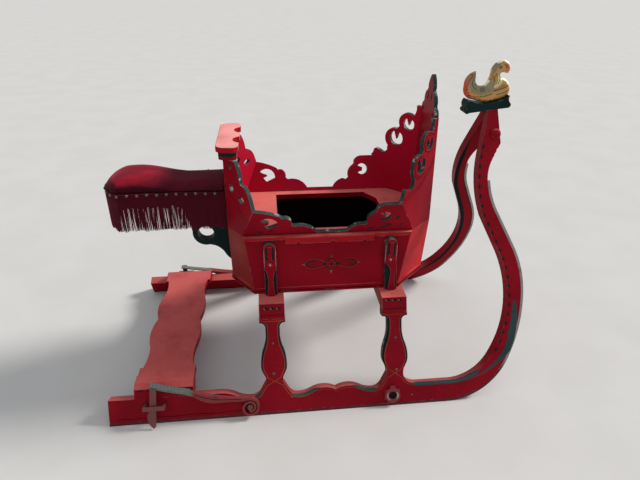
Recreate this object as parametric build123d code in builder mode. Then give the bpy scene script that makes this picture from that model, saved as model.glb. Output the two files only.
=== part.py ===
from build123d import *
from math import atan, cos, degrees, hypot, radians, sin, sqrt, tan
import os

os.makedirs("parts", exist_ok=True)

# Frame: +X forward to the figure on the head, +Y left, +Z up, ground at zero, X measured from mid length.
# Each side of the sleigh is a flat frame of planks that leans inward, right side made first and mirrored.

# Stance
runner_rear = -822.0
half_track = 468.0
apex_height = 1136.0
lean = atan(half_track / apex_height)
plank = 42.0
shoe = 10.0

# Runner outline in its leaning plane, heights measured along the slope
toe_start = 503.0
toe_turn = (750.0, 166.0)
nose = (812.0, 430.0)
upper_start = (770.0, 621.0)
neck_low = (700.0, 763.0)
neck_mid = (668.0, 888.0)
neck_high = (683.0, 963.0)
head_nose = (719.0, 1030.0)
head_drop = 67.1500784
head_top_front = 706.0
head_top_rear = 671.0
inner_neck_high = (638.0, 992.0)
inner_neck_low = (651.0, 751.0)
inner_upper = (715.0, 612.0)
inner_nose = (758.0, 411.0)
inner_toe = (684.0, 172.0)
inner_toe_start = 500.0
brow_scallop = 8.5
brow_scallops = ((711.0, 1003.0), (703.0, 986.0), (695.0, 969.0))

# Scalloped top edge of the runner
runner_rear_height = 101.0
runner_dip = 71.0
runner_front_height = 83.0
rear_swell_end = -400.0
rear_dip = -282.0
front_dip = 383.0
accolade_dip = 148.0
accolade_crown = 50.0
accolade_crown_height = 96.0
accolade_cusp_height = 84.0
rear_corner_round = 10.0

# Posts, heights along the slope
post_rear = -190.0
post_front = 291.0
post_stations = (("rear", post_rear), ("front", post_front))
foot_half = 54.5
foot_height = 93.0
pinch_half = 32.0
pinch_height = 133.0
bulb_half = 50.0
bulb_height = 200.0
neck_half = 27.0
neck_height = 322.0
cap_start = 350.0
cap_half = 50.0
cap_height = 369.0

# Bolsters that carry the body
bolster_length = 98.0
bolster_bottom = 354.0
body_bottom = 410.0

# Body plan at its waist and the outward run of its lower panels
body_waist = 664.0
body_half_width = 225.0
body_rear = -344.0
body_front = 454.0
rear_corner = -281.0
front_corner = 354.0
rear_oblique_slope = 1.374
front_oblique_slope = 0.975
rear_oblique_flare = 0.089
front_oblique_flare = 0.096
wall = 15.0
floor_thickness = 14.0
floor_rebate = 6.0
floor_proud = 4.0

# Deck and its opening
deck_top = 661.0
deck_thickness = 22.0
opening_rear = -152.0
opening_front = 283.0
opening_half_width = 165.0
opening_chamfer_x = 45.0
opening_chamfer_y = 70.0

# Upper boards
board = 15.0
side_flare = 0.40
side_inset = 8.0
oblique_flare = -0.07
front_peak = 534.0
front_shoulder = 395.0
side_board_dip = 6.0

# Crest on the rear board
crest_half = 158.0
crest_rear = -364.0
crest_front = -283.0
crest_bottom = 935.0
crest_band = 20.0
crest_cove = 10.0
crest_slab = 20.0
crest_step = 8.0

# Waist rails with their scalloped aprons
rail_height = 14.0
rail_thickness = 8.0
apron_drop = 15.0
apron_proud = 4.0
apron_rear = -128.0
apron_front = 208.0
apron_notches = (-80.0, 50.0, 172.0)
apron_notch = 7.0

# Stays between bolsters and body sides
stay_width = 47.0
stay_thickness = 18.0
stay_relief = 8.0
stay_top = 645.0
stay_shoulder = 540.0
stay_waist = 480.0
stay_waist_half = 9.0
stay_foot_half = 15.0
stay_recess = 6.0
stay_stations = (("rear", -188.5, 0.0), ("front", 288.5, -13.5))

# Saddle
saddle_rear = -803.0
saddle_half = 120.0
saddle_waist_half = 113.0
saddle_round = 66.0
saddle_board_bottom = 780.0
saddle_board_thickness = 20.0
hump_height = 59.7
dip_height = 13.7
saddle_side = 6.0
soft_gap = 0.3
fringe_length = 145.0
fringe_thickness = 6.0

# Scroll bracket under the saddle
bracket_thickness = 40.0
bracket_ring = 54.0
bracket_hole = 32.0
bracket_centre = (-446.0, 580.0)
bracket_foot = 448.0
bracket_reach = 296.0

# Footboard
footboard_rear = -720.0
footboard_front = -503.0
footboard_half = 394.0
footboard_top = 139.0
footboard_thickness = 26.0
footboard_step = 310.0
footboard_step_depth = 11.0
footboard_block_rear = -724.0
footboard_block_front = -503.0
footboard_block_inner = 352.0
footboard_end_height = 137.0

# Foot brakes
brake_pivot = (-288.0, 48.0)
brake_gap = 5.0
brake_thickness = 20.0
brake_band = 9.0
brake_eye = 11.0
coil_outer = 32.0
coil_inner = 19.0
brake_pin_radius = 6.0
pivot_clearance = 0.3
pedal_rear = (-658.0, 156.0)
pedal_middle = (-590.0, 138.0)
pedal_front = (-512.0, 122.0)
pedal_thickness = 7.0
pedal_width = 22.0
pedal_rib = 3.0
claw_front = -634.0
claw_width = 23.0
claw_blade = 7.0
claw_slant = 9.0
claw_top = 150.0
claw_shoulder = 52.0
claw_tip = -6.0
claw_thickness = 6.0

# Keeper of the brake claw
keeper_rear = -686.0
keeper_length = 80.0
keeper_leg = 8.0
keeper_height = 76.0
keeper_width = 16.0
keeper_reach = 38.0
keeper_strap = 5.0

# Draught eye
eye_station = 276.0
eye_height = 47.0
eye_plate = 5.0
eye_ring = 31.0
eye_bore = 16.0
eye_depth = 9.0

# Head
seat_tilt = 7.0
plinth_half = 27.0
figure_half = 15.0
peg_drop = 84.0
peg_station = 695.0
peg_radius = 9.0
peg_knob = 20.0
peg_knob_reach = 9.0


def lean_plane(station=0.0, offset=0.0):
    """Plane of the right side frame, offset outward from the outer face of the planks."""
    out = Vector(0, -cos(lean), sin(lean))
    origin = Vector(station, -half_track, 0) + out * offset
    return Plane(origin=origin, x_dir=(1, 0, 0), z_dir=out)


def save(piece, label):
    piece.label = label
    export_step(piece, "parts/" + label + ".step")


def other_side(piece):
    return mirror(piece, about=Plane.XZ)


def save_pair(piece, label):
    save(piece, label + "_right")
    save(other_side(piece), label + "_left")


def ogee(start, end, heading=(0, 1)):
    """Two tangent arcs between two points, with the same heading at both ends."""
    middle = (Vector(start) + Vector(end)) / 2
    first = TangentArc(start, middle, tangent=heading)
    return TangentArc(middle, end, tangent=first % 1)


def post_foot(post, hand, dip):
    """Flare of the runner's top edge from a dip up to the pinch of a post."""
    flare = TangentArc(dip, (post + hand * foot_half, foot_height), tangent=(-hand, 0))
    return TangentArc(flare @ 1, (post + hand * pinch_half, pinch_height), tangent=flare % 1)


# Runner
head_level = apex_height - head_drop
head_top = head_level / cos(lean)
head_seat = Plane(
    origin=((head_top_rear + head_top_front) / 2, 0, head_level), z_dir=(-sin(radians(seat_tilt)), 0, cos(radians(seat_tilt)))
)
peg_level = head_level - peg_drop
bay_middle = (post_rear + post_front) / 2
with BuildPart() as runner_right:
    with BuildSketch(lean_plane()):
        with BuildLine():
            base = Line((runner_rear, shoe / cos(lean)), (toe_start, shoe / cos(lean)))
            toe = TangentArc(base @ 1, toe_turn, tangent=base % 1)
            rise = TangentArc(toe @ 1, nose, tangent=toe % 1)
            shoulder = TangentArc(rise @ 1, upper_start, tangent=rise % 1)
            run = Line(shoulder @ 1, neck_low)
            neck = TangentArc(run @ 1, neck_mid, tangent=run % 1)
            throat = TangentArc(neck @ 1, neck_high, tangent=neck % 1)
            brow = Line(throat @ 1, head_nose)
            face = Line(brow @ 1, (head_top_front, head_top))
            crown = Polyline(face @ 1, (head_top_front, head_top + plank), (head_top_rear, head_top + plank))
            nape = Polyline(crown @ 1, (head_top_rear, head_top), inner_neck_high)
            hollow = TangentArc(nape @ 1, inner_neck_low, tangent=nape % 1)
            inner_run = Line(hollow @ 1, inner_upper)
            belly = TangentArc(inner_run @ 1, inner_nose, tangent=inner_run % 1)
            inner_rise = TangentArc(belly @ 1, inner_toe, tangent=belly % 1)
            inner_sweep = TangentArc(inner_rise @ 1, (inner_toe_start, runner_front_height), tangent=inner_rise % 1)
            Line(inner_sweep @ 1, (front_dip, runner_front_height))
            post_foot(post_front, 1, (front_dip, runner_front_height))
            for post_x in (post_rear, post_front):
                Line((post_x - pinch_half, pinch_height), (post_x + pinch_half, pinch_height))
            for hand, post_x in ((1, post_front), (-1, post_rear)):
                dip = (bay_middle + hand * accolade_dip, runner_dip)
                crown_point = (bay_middle + hand * accolade_crown, accolade_crown_height)
                post_foot(post_x, -hand, dip)
                ogee(dip, crown_point, heading=(-hand, 0))
                TangentArc(crown_point, (bay_middle, accolade_cusp_height), tangent=(-hand, 0))
            post_foot(post_rear, -1, (rear_dip, runner_dip))
            ogee((rear_dip, runner_dip), (rear_swell_end, runner_rear_height), heading=(-1, 0))
            Line((rear_swell_end, runner_rear_height), (runner_rear, runner_rear_height))
            Line((runner_rear, runner_rear_height), base @ 0)
        make_face()
        for scallop in brow_scallops:
            with Locations(scallop):
                Circle(brow_scallop, mode=Mode.SUBTRACT)
        rear_corners = vertices().group_by(Axis.X)[0]
        fillet(rear_corners.sort_by(Axis.Z)[-1], radius=rear_corner_round)
    extrude(amount=-plank)
    split(bisect_by=Plane.XY.offset(shoe), keep=Keep.TOP)
    split(bisect_by=head_seat, keep=Keep.BOTTOM)
    split(bisect_by=Plane.XZ, keep=Keep.TOP)
    with BuildSketch(Plane.XZ):
        with Locations((peg_station, peg_level)):
            RegularPolygon(peg_radius, 8)
    extrude(amount=half_track, mode=Mode.SUBTRACT)
save_pair(runner_right.part, "runner")

# Iron shoe under the runner and up the front of its curve
with BuildPart() as shoe_right:
    with BuildSketch(lean_plane()):
        with BuildLine():
            tread = Line((runner_rear, shoe / cos(lean)), (toe_start, shoe / cos(lean)))
            tip = TangentArc(tread @ 1, toe_turn, tangent=tread % 1)
            climb = TangentArc(tip @ 1, nose, tangent=tip % 1)
            over = TangentArc(climb @ 1, upper_start, tangent=climb % 1)
            upper = Line(over @ 1, neck_low)
            TangentArc(upper @ 1, neck_mid, tangent=upper % 1)
            offset(amount=shoe, side=Side.RIGHT)
        make_face()
    extrude(amount=-plank)
    with BuildSketch(Plane.XY):
        with Locations(((runner_rear + toe_start) / 2, -half_track)):
            Rectangle(toe_start - runner_rear, 2 * plank)
    extrude(amount=shoe)
    for depth, side_kept in ((0, Keep.BOTTOM), (plank, Keep.TOP)):
        split(bisect_by=lean_plane(0, -depth), keep=side_kept)
    split(bisect_by=Plane.XY, keep=Keep.TOP)
    add(runner_right.part, mode=Mode.SUBTRACT)
save_pair(shoe_right.part, "shoe")

# Posts
for post_name, post_x in post_stations:
    with BuildPart() as post:
        with BuildSketch(lean_plane(post_x)):
            with BuildLine():
                Line((0, pinch_height), (pinch_half, pinch_height))
                bulb = ogee((pinch_half, pinch_height), (bulb_half, bulb_height))
                narrow = ogee(bulb @ 1, (neck_half, neck_height))
                stem = Line(narrow @ 1, (neck_half, cap_start))
                cap = TangentArc(stem @ 1, (cap_half, cap_height), tangent=(0, 1))
                ear = Line(cap @ 1, (cap_half, cap_height + 80))
                Line(ear @ 1, (0, cap_height + 80))
                mirror(about=Plane.YZ)
            make_face()
        extrude(amount=-plank)
        split(bisect_by=Plane.XY.offset(bolster_bottom), keep=Keep.BOTTOM)
    save_pair(post.part, "post_" + post_name)

# Bolsters
for bolster_name, bolster_x in post_stations:
    with BuildPart() as bolster:
        with BuildSketch(Plane.XY.offset(bolster_bottom)):
            with Locations((bolster_x, 0)):
                Rectangle(bolster_length, 2 * half_track)
        extrude(amount=body_bottom - bolster_bottom)
        for hand in (-1, 1):
            end_plane = Plane(origin=(0, hand * half_track, 0), x_dir=(1, 0, 0), z_dir=(0, hand * cos(lean), sin(lean)))
            split(bisect_by=end_plane, keep=Keep.BOTTOM)
    save(bolster.part, "bolster_" + bolster_name)


def face_out(normal_x, normal_y, flare):
    """Unit normal of a board whose flare is its outward run per unit of height."""
    return Vector(normal_x, normal_y, -flare).normalized()


# Corners of the body's right side on the waist, rear to front, and the outward normals of its boards
rear_end = body_half_width - (rear_corner - body_rear) * rear_oblique_slope
front_end = body_half_width - (body_front - front_corner) * front_oblique_slope
corners = (
    Vector(body_rear, -rear_end, body_waist),
    Vector(rear_corner, -body_half_width, body_waist),
    Vector(front_corner, -body_half_width, body_waist),
    Vector(body_front, -front_end, body_waist),
)
high_corners = (
    corners[0],
    corners[1] + Vector(-side_inset / rear_oblique_slope, side_inset, 0),
    corners[2] + Vector(side_inset / front_oblique_slope, side_inset, 0),
    corners[3],
)
rear_run = Vector(1, -rear_oblique_slope, 0).normalized()
front_run = Vector(1, front_oblique_slope, 0).normalized()
runs = (rear_run, Vector(1, 0, 0), front_run)
rear_out = Vector(-1, 0, 0)
front_out = Vector(1, 0, 0)
low_outs = (
    rear_out,
    face_out(rear_run.Y, -rear_run.X, rear_oblique_flare),
    Vector(0, -1, 0),
    face_out(front_run.Y, -front_run.X, front_oblique_flare),
    front_out,
)
high_outs = (
    rear_out,
    face_out(rear_run.Y, -rear_run.X, oblique_flare),
    face_out(0, -1, side_flare),
    face_out(front_run.Y, -front_run.X, oblique_flare),
    front_out,
)


def cut_joints(index, outs, points):
    """Mitre a board of the right side to its neighbours along the body's corners."""
    split(bisect_by=Plane(origin=points[index], z_dir=outs[index] - outs[index + 1]), keep=Keep.BOTTOM)
    split(bisect_by=Plane(origin=points[index + 1], z_dir=outs[index + 1] - outs[index + 2]), keep=Keep.TOP)


def cut_ends(corner, end_out, oblique_out):
    """Mitre both ends of a board that crosses the body to the oblique boards beside it."""
    for hand in (1, -1):
        joint = end_out - Vector(oblique_out.X, hand * oblique_out.Y, oblique_out.Z)
        split(bisect_by=Plane(origin=(corner.X, hand * corner.Y, corner.Z), z_dir=joint), keep=Keep.TOP)


def cut_levels(bottom, top):
    split(bisect_by=Plane.XY.offset(bottom), keep=Keep.TOP)
    split(bisect_by=Plane.XY.offset(top), keep=Keep.BOTTOM)


def trim_to_body(inset):
    """Cut the part at hand to the body's plan, inset from the outer faces of the lower panels."""
    for corner, out in zip(corners + corners[-1:], low_outs):
        for hand in (1, -1):
            normal = Vector(out.X, hand * out.Y, out.Z)
            place = Vector(corner.X, hand * corner.Y, corner.Z) - normal * inset
            split(bisect_by=Plane(origin=place, z_dir=normal), keep=Keep.BOTTOM)


# Floor of the body: its edge stands proud as a base strip, and the walls stand in a rebate round its top
floor_top = body_bottom + floor_thickness
wall_foot = floor_top - floor_rebate
with BuildPart() as floor_step:
    with BuildSketch(Plane.XY.offset(body_bottom)):
        Rectangle(3 * body_front, 3 * body_half_width)
    extrude(amount=floor_thickness)
    trim_to_body(wall)
with BuildPart() as body_floor:
    with BuildSketch(Plane.XY.offset(body_bottom)):
        Rectangle(3 * body_front, 3 * body_half_width)
    extrude(amount=floor_thickness - floor_rebate)
    trim_to_body(-floor_proud)
    add(floor_step.part)
save(body_floor.part, "body_floor")

# Lower panels of the body
panel_height = body_waist - body_bottom
for index, panel_name in enumerate(("panel_rear_oblique", "panel_side", "panel_front_oblique")):
    with BuildPart() as panel:
        with BuildSketch(Plane(origin=corners[index], x_dir=runs[index], z_dir=low_outs[index + 1])):
            with Locations(((corners[index + 1] - corners[index]).length / 2, 0)):
                Rectangle(body_front - body_rear, 3 * panel_height)
        extrude(amount=-wall)
        cut_joints(index, low_outs, corners)
        cut_levels(wall_foot, body_waist)
    save_pair(panel.part, panel_name)

for panel_name, corner, end_out, oblique_out in (
    ("panel_rear", corners[0], rear_out, low_outs[1]),
    ("panel_front", corners[-1], front_out, low_outs[-2]),
):
    with BuildPart() as end_panel:
        with BuildSketch(Plane(origin=(corner.X, 0, body_waist), x_dir=(0, 1, 0), z_dir=end_out)):
            Rectangle(2 * body_half_width, 3 * panel_height)
        extrude(amount=-wall)
        cut_ends(corner, end_out, oblique_out)
        cut_levels(wall_foot, body_waist)
    save(end_panel.part, panel_name)

# Deck
with BuildPart() as deck:
    with BuildSketch(Plane.XY.offset(deck_top)):
        Rectangle(3 * body_front, 3 * body_half_width)
        with BuildLine():
            Polyline(
                (opening_rear, -opening_half_width),
                (opening_front - opening_chamfer_x, -opening_half_width),
                (opening_front, -opening_half_width + opening_chamfer_y),
                (opening_front, opening_half_width - opening_chamfer_y),
                (opening_front - opening_chamfer_x, opening_half_width),
                (opening_rear, opening_half_width),
                close=True,
            )
        make_face(mode=Mode.SUBTRACT)
    extrude(amount=-deck_thickness)
    trim_to_body(wall)
save(deck.part, "deck")

# Side board, high at both ends and swept down to the deck's edge between them, pierced by two commas
with BuildPart() as side_board:
    with BuildSketch(Plane(origin=(0, side_inset - body_half_width, body_waist), x_dir=(1, 0, 0), z_dir=high_outs[2])):
        with BuildLine():
            Polyline((-360, 118), (-360, -10), (420, -10), (420, 142), (240, 142))
            ThreePointArc((-360, 118), (-212, 121), (-148, 98))
            Polyline((-148, 98), (-139, 89), (-125, 90))
            ThreePointArc((-125, 90), (-108, 76), (-105, 54))
            Polyline((-105, 54), (-98, 46), (-89, 46))
            ThreePointArc((-89, 46), (-46, 40), (-10, side_board_dip))
            Line((-10, side_board_dip), (106, side_board_dip))
            ThreePointArc((106, side_board_dip), (128, 33), (152, 43))
            Polyline((152, 43), (167, 38), (178, 48))
            ThreePointArc((178, 48), (179, 80), (193, 98))
            Polyline((193, 98), (204, 108), (205, 122))
            ThreePointArc((205, 122), (218, 136), (240, 142))
        make_face()
        with BuildLine():
            ThreePointArc((-218, 80), (-186, 92), (-153, 53))
            Line((-153, 53), (-190, 36))
            Line((-190, 36), (-204, 52))
            Polyline((-204, 52), (-187, 60), (-189, 67), (-204, 72))
            Line((-204, 72), (-218, 80))
        make_face(mode=Mode.SUBTRACT)
        with BuildLine():
            ThreePointArc((222, 97), (262, 94), (222, 67))
            Polyline((222, 67), (241, 73), (243, 88), (222, 97))
        make_face(mode=Mode.SUBTRACT)
    extrude(amount=-board)
    cut_joints(1, high_outs, high_corners)
    split(bisect_by=Plane.XY.offset(body_waist), keep=Keep.TOP)
save_pair(side_board.part, "side_board")

# Rear oblique board, stepped down from the crest in lobes and pierced
with BuildPart() as rear_oblique_board:
    with BuildSketch(Plane(origin=corners[0], x_dir=rear_run, z_dir=high_outs[1])):
        with BuildLine():
            Line((-80, -10), (-80, 280))
            Line((-80, 280), (44, 280))
            shoulder_lobe = ThreePointArc((44, 280), (66, 248), (81, 203))
            shoulder_notch = Polyline((81, 203), (86, 196), (98, 198))
            middle_lobe = ThreePointArc((98, 198), (134, 170), (145, 150))
            Line((145, 150), (164, 112))
            Line((164, 112), (220, 112))
            Line((220, 112), (220, -10))
            Line((220, -10), (-80, -10))
        make_face()
        with Locations((22, 250)):
            Polygon((0, 14), (7, 7), (7, -7), (0, -14), (-7, -7), (-7, 7), mode=Mode.SUBTRACT)
        with Locations((30, 168)):
            Circle(13, mode=Mode.SUBTRACT)
        with BuildLine():
            ThreePointArc((71, 142), (90, 154), (109, 142))
            ThreePointArc((109, 142), (90, 130), (71, 142))
        make_face(mode=Mode.SUBTRACT)
    extrude(amount=-board)
    cut_joints(0, high_outs, high_corners)
    cut_levels(body_waist, crest_bottom)
save_pair(rear_oblique_board.part, "rear_oblique_board")

# Front oblique board, carved into two rising volutes pierced by crescents
volutes = (((45.0, 238.0), 48.0, (52.0, 244.0), 31.0), ((102.0, 318.0), 41.0, (108.0, 314.0), 25.0))
with BuildPart() as front_oblique_board:
    with BuildSketch(Plane(origin=corners[2], x_dir=front_run, z_dir=high_outs[3])):
        with BuildLine():
            Line((-120, -10), (-120, 128))
            shoulder_rise = ThreePointArc((-120, 128), (-78, 140), (-61, 160))
            point_lobe = ThreePointArc((-61, 160), (-56, 174), (-40, 178))
            Line((-40, 178), (-13, 166))
            Line((-13, 166), (8, 196))
            Line((8, 196), (50, 280))
            Line((50, 280), (104, 352))
            Line((104, 352), (124, 348))
            crest_curve = ThreePointArc((124, 348), (136, 366), (139, 396))
            Line((139, 396), (190, 396))
            Line((190, 396), (190, -10))
            Line((190, -10), (-120, -10))
        make_face()
        for head, head_radius, hole, hole_radius in volutes:
            with Locations(head):
                Circle(head_radius)
        with Locations((-13, 190)):
            Circle(22, mode=Mode.SUBTRACT)
        for head, head_radius, hole, hole_radius in volutes:
            with Locations(hole):
                Circle(hole_radius, mode=Mode.SUBTRACT)
            with BuildLine():
                Polyline(
                    (hole[0] - 12, hole[1] + hole_radius + 2),
                    (hole[0], hole[1] - 5),
                    (hole[0] + 12, hole[1] + hole_radius + 2),
                    close=True,
                )
            make_face()
    extrude(amount=-board)
    cut_joints(2, high_outs, high_corners)
    split(bisect_by=Plane.XY.offset(body_waist), keep=Keep.TOP)
save_pair(front_oblique_board.part, "front_oblique_board")

# Front board with its scalloped peak and drop-shaped slots
with BuildPart() as front_board:
    with BuildSketch(Plane(origin=(body_front, 0, body_waist), x_dir=(0, 1, 0), z_dir=front_out)):
        with BuildLine():
            peak_lobe = ThreePointArc((0, front_peak), (17, 516), (28, 490))
            peak_notch = Polyline((28, 490), (25, 481), (31, 473))
            upper_lobe = ThreePointArc((31, 473), (52, 458), (60, 439))
            upper_notch = Polyline((60, 439), (58, 430), (63, 422))
            lower_lobe = ThreePointArc((63, 422), (79, 412), (85, front_shoulder))
            Line((85, front_shoulder), (180, front_shoulder))
            Line((180, front_shoulder), (180, -10))
            Line((180, -10), (0, -10))
            mirror(about=Plane.YZ)
        make_face()
        with Locations((-20, 453), (20, 453)):
            Polygon((0, 17), (6, 9), (6, -9), (0, -17), (-6, -9), (-6, 9), mode=Mode.SUBTRACT)
        with Locations((-56, 393), (56, 393)):
            Polygon((0, 12), (6, 6), (6, -6), (0, -12), (-6, -6), (-6, 6), mode=Mode.SUBTRACT)
    extrude(amount=-board)
    cut_ends(corners[-1], front_out, high_outs[-2])
    split(bisect_by=Plane.XY.offset(body_waist), keep=Keep.TOP)
save(front_board.part, "front_board")

# Rear board
with BuildPart() as rear_board:
    with BuildSketch(Plane(origin=(body_rear, 0, body_waist), x_dir=(0, 1, 0), z_dir=rear_out)):
        Rectangle(2 * body_half_width, 3 * (crest_bottom - body_waist))
    extrude(amount=-board)
    cut_ends(corners[0], rear_out, high_outs[1])
    cut_levels(body_waist, crest_bottom)
save(rear_board.part, "rear_board")

# Crest: a band, a cove stepped in, and a slab with lobes and bites along its front edge
with BuildPart() as crest:
    cove_bottom = crest_bottom + crest_band
    slab_bottom = cove_bottom + crest_cove
    for level, height, step in (
        (crest_bottom, crest_band, crest_step),
        (cove_bottom, crest_cove, crest_step),
        (slab_bottom, crest_slab, 0.0),
    ):
        with BuildSketch(Plane.XY.offset(level)):
            with BuildLine():
                rear_line = Line((crest_rear + step, 0), (crest_rear + step, crest_half - 26))
                end_curve = ThreePointArc(
                    rear_line @ 1, (crest_rear + 20 + step, crest_half - 4 - step), (crest_rear + 44, crest_half - step)
                )
                tip_line = ThreePointArc(end_curve @ 1, (crest_front - 6 - step, crest_half - 6 - step), (crest_front - step, 138))
                front_line = Line(tip_line @ 1, (crest_front - step, 100))
                bite = ThreePointArc(front_line @ 1, (crest_front - 24 - step, 58), (crest_front - step, 24))
                Line(bite @ 1, (crest_front - step, 0))
                mirror(about=Plane.XZ)
            make_face()
        extrude(amount=height)
save(crest.part, "crest")

# Waist rails with scalloped aprons
rail_bottom = body_waist - rail_height
with BuildPart() as waist_rail:
    with BuildSketch(Plane(origin=(0, -body_half_width, 0), x_dir=(1, 0, 0), z_dir=(0, -1, 0))):
        with BuildLine():
            Polyline(
                (rear_corner, body_waist),
                (front_corner, body_waist),
                (front_corner, rail_bottom),
                (rear_corner, rail_bottom),
                close=True,
            )
        make_face()
    extrude(amount=rail_thickness)
    apron_bottom = rail_bottom - apron_drop
    with BuildSketch(Plane(origin=(0, -body_half_width, 0), x_dir=(1, 0, 0), z_dir=(0, -1, 0))):
        with BuildLine():
            Polyline(
                (apron_rear, body_waist),
                (apron_front, body_waist),
                (apron_front, apron_bottom),
                (apron_rear, apron_bottom),
                close=True,
            )
        make_face()
        for notch in apron_notches:
            with Locations((notch, apron_bottom)):
                Rectangle(2 * apron_notch, 2 * apron_notch, rotation=45, mode=Mode.SUBTRACT)
    extrude(amount=rail_thickness + apron_proud)
    chamfer(waist_rail.edges().filter_by(Axis.X).group_by(Axis.Z)[-1].group_by(Axis.Y)[0], length=4)
save_pair(waist_rail.part, "waist_rail")

# Stays: a backing plank, a carved front that narrows below its shoulder, and an arched recess with a raised strip
for stay_name, stay_x, stay_shift in stay_stations:
    stay_face = Plane(origin=(0, -body_half_width, 0), x_dir=(1, 0, 0), z_dir=(0, -1, 0))
    stay_half = stay_width / 2
    stay_centre = stay_x + stay_shift
    with BuildPart() as stay:
        with BuildSketch(stay_face):
            with BuildLine():
                rear_side = Line((stay_x - stay_half, body_bottom), (stay_centre - stay_half, stay_top - stay_half))
                dome = ThreePointArc(rear_side @ 1, (stay_centre, stay_top), (stay_centre + stay_half, stay_top - stay_half))
                front_side = Line(dome @ 1, (stay_x + stay_half, body_bottom))
                Line(front_side @ 1, rear_side @ 0)
            make_face()
        extrude(amount=stay_thickness)
        with BuildSketch(stay_face.offset(stay_thickness)):
            with BuildLine():
                front_half = stay_half - 2
                rise_line = Line((stay_centre - front_half, stay_shoulder), (stay_centre - front_half, stay_top - stay_half))
                arch = ThreePointArc(rise_line @ 1, (stay_centre, stay_top - 2), (stay_centre + front_half, stay_top - stay_half))
                Line(arch @ 1, (stay_centre + front_half, stay_shoulder))
                for hand in (-1, 1):
                    ThreePointArc(
                        (stay_centre + hand * front_half, stay_shoulder),
                        (stay_x + hand * (stay_waist_half + 5), stay_shoulder - 25),
                        (stay_x + hand * stay_waist_half, stay_waist),
                    )
                    Line((stay_x + hand * stay_waist_half, stay_waist), (stay_x + hand * stay_foot_half, body_bottom))
                Line((stay_x - stay_foot_half, body_bottom), (stay_x + stay_foot_half, body_bottom))
            make_face()
            with Locations((stay_centre, stay_top - 40)):
                with BuildLine():
                    recess_side = Line((-16, 15), (-16, -30))
                    recess_arch = ThreePointArc(recess_side @ 0, (0, 31), (16, 15))
                    Line(recess_arch @ 1, (16, -30))
                    Line((16, -30), recess_side @ 1)
                make_face(mode=Mode.SUBTRACT)
                Rectangle(16, 54)
        extrude(amount=stay_relief)
        with BuildSketch(stay_face.offset(stay_thickness + stay_relief)):
            with Locations((stay_centre, stay_shoulder + 16)):
                RegularPolygon(8, 6)
        extrude(amount=3)
        add(body_floor.part, mode=Mode.SUBTRACT)
        add(waist_rail.part, mode=Mode.SUBTRACT)
    save_pair(stay.part, "stay_" + stay_name)

# Saddle board, pad and fringe
saddle_shoulder = saddle_rear + saddle_round
with BuildPart() as saddle_board:
    with BuildSketch(Plane.XY.offset(saddle_board_bottom)):
        with BuildLine():
            back = ThreePointArc((saddle_shoulder, -saddle_half), (saddle_rear, 0), (saddle_shoulder, saddle_half))
            for hand in (-1, 1):
                ThreePointArc(
                    (saddle_shoulder, hand * saddle_half),
                    ((saddle_shoulder + body_rear) / 2, hand * saddle_waist_half),
                    (body_rear, hand * saddle_half),
                )
            Line((body_rear, -saddle_half), (body_rear, saddle_half))
        make_face()
    extrude(amount=saddle_board_thickness)
save(saddle_board.part, "saddle_board")

saddle_board_top = saddle_board_bottom + saddle_board_thickness
pad_bottom = saddle_board_top + soft_gap
pad_dip = pad_bottom + dip_height
pad_top = pad_bottom + hump_height
pad_front = body_rear - soft_gap
saddle_plan = saddle_board.faces().sort_by(Axis.Z)[-1]
pad_plan = offset(saddle_plan, amount=-2)
with BuildPart() as saddle_pad:
    with BuildSketch(Plane.XZ.offset(-saddle_half)):
        with BuildLine():
            Line((saddle_rear, pad_bottom), (pad_front, pad_bottom))
            Line((pad_front, pad_bottom), (pad_front, pad_dip))
            seat_line = Line((pad_front, pad_dip), (saddle_rear + 275, pad_dip))
            hump_slope = ThreePointArc(seat_line @ 1, (saddle_rear + 205, pad_dip + 20), (saddle_rear + 122, pad_top))
            hump_rear = ThreePointArc(hump_slope @ 1, (saddle_rear + 38, pad_top - 14), (saddle_rear, pad_bottom + 12))
            Line(hump_rear @ 1, (saddle_rear, pad_bottom))
        make_face()
    extrude(amount=2 * saddle_half)
    extrude(pad_plan, amount=2 * hump_height, mode=Mode.INTERSECT)
    with BuildSketch(Plane(origin=(saddle_rear, 0, 0), x_dir=(0, 1, 0), z_dir=(1, 0, 0))):
        with BuildLine():
            Line((-saddle_half, pad_bottom), (saddle_half, pad_bottom))
            right_edge = Line((saddle_half, pad_bottom), (saddle_half, pad_bottom + saddle_side))
            arch = ThreePointArc(right_edge @ 1, (0, pad_top), (-saddle_half, pad_bottom + saddle_side))
            Line(arch @ 1, (-saddle_half, pad_bottom))
        make_face()
    extrude(amount=saddle_half * 5, mode=Mode.INTERSECT)
save(saddle_pad.part, "saddle_pad")

fringe_outer = offset(saddle_plan, amount=soft_gap + fringe_thickness)
fringe_inner = offset(saddle_plan, amount=soft_gap)
with BuildPart() as saddle_fringe:
    extrude(fringe_outer, amount=-fringe_length)
    extrude(fringe_inner, amount=-fringe_length, mode=Mode.SUBTRACT)
    split(bisect_by=Plane.YZ.offset(body_rear - 1), keep=Keep.BOTTOM)
save(saddle_fringe.part, "saddle_fringe")

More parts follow.
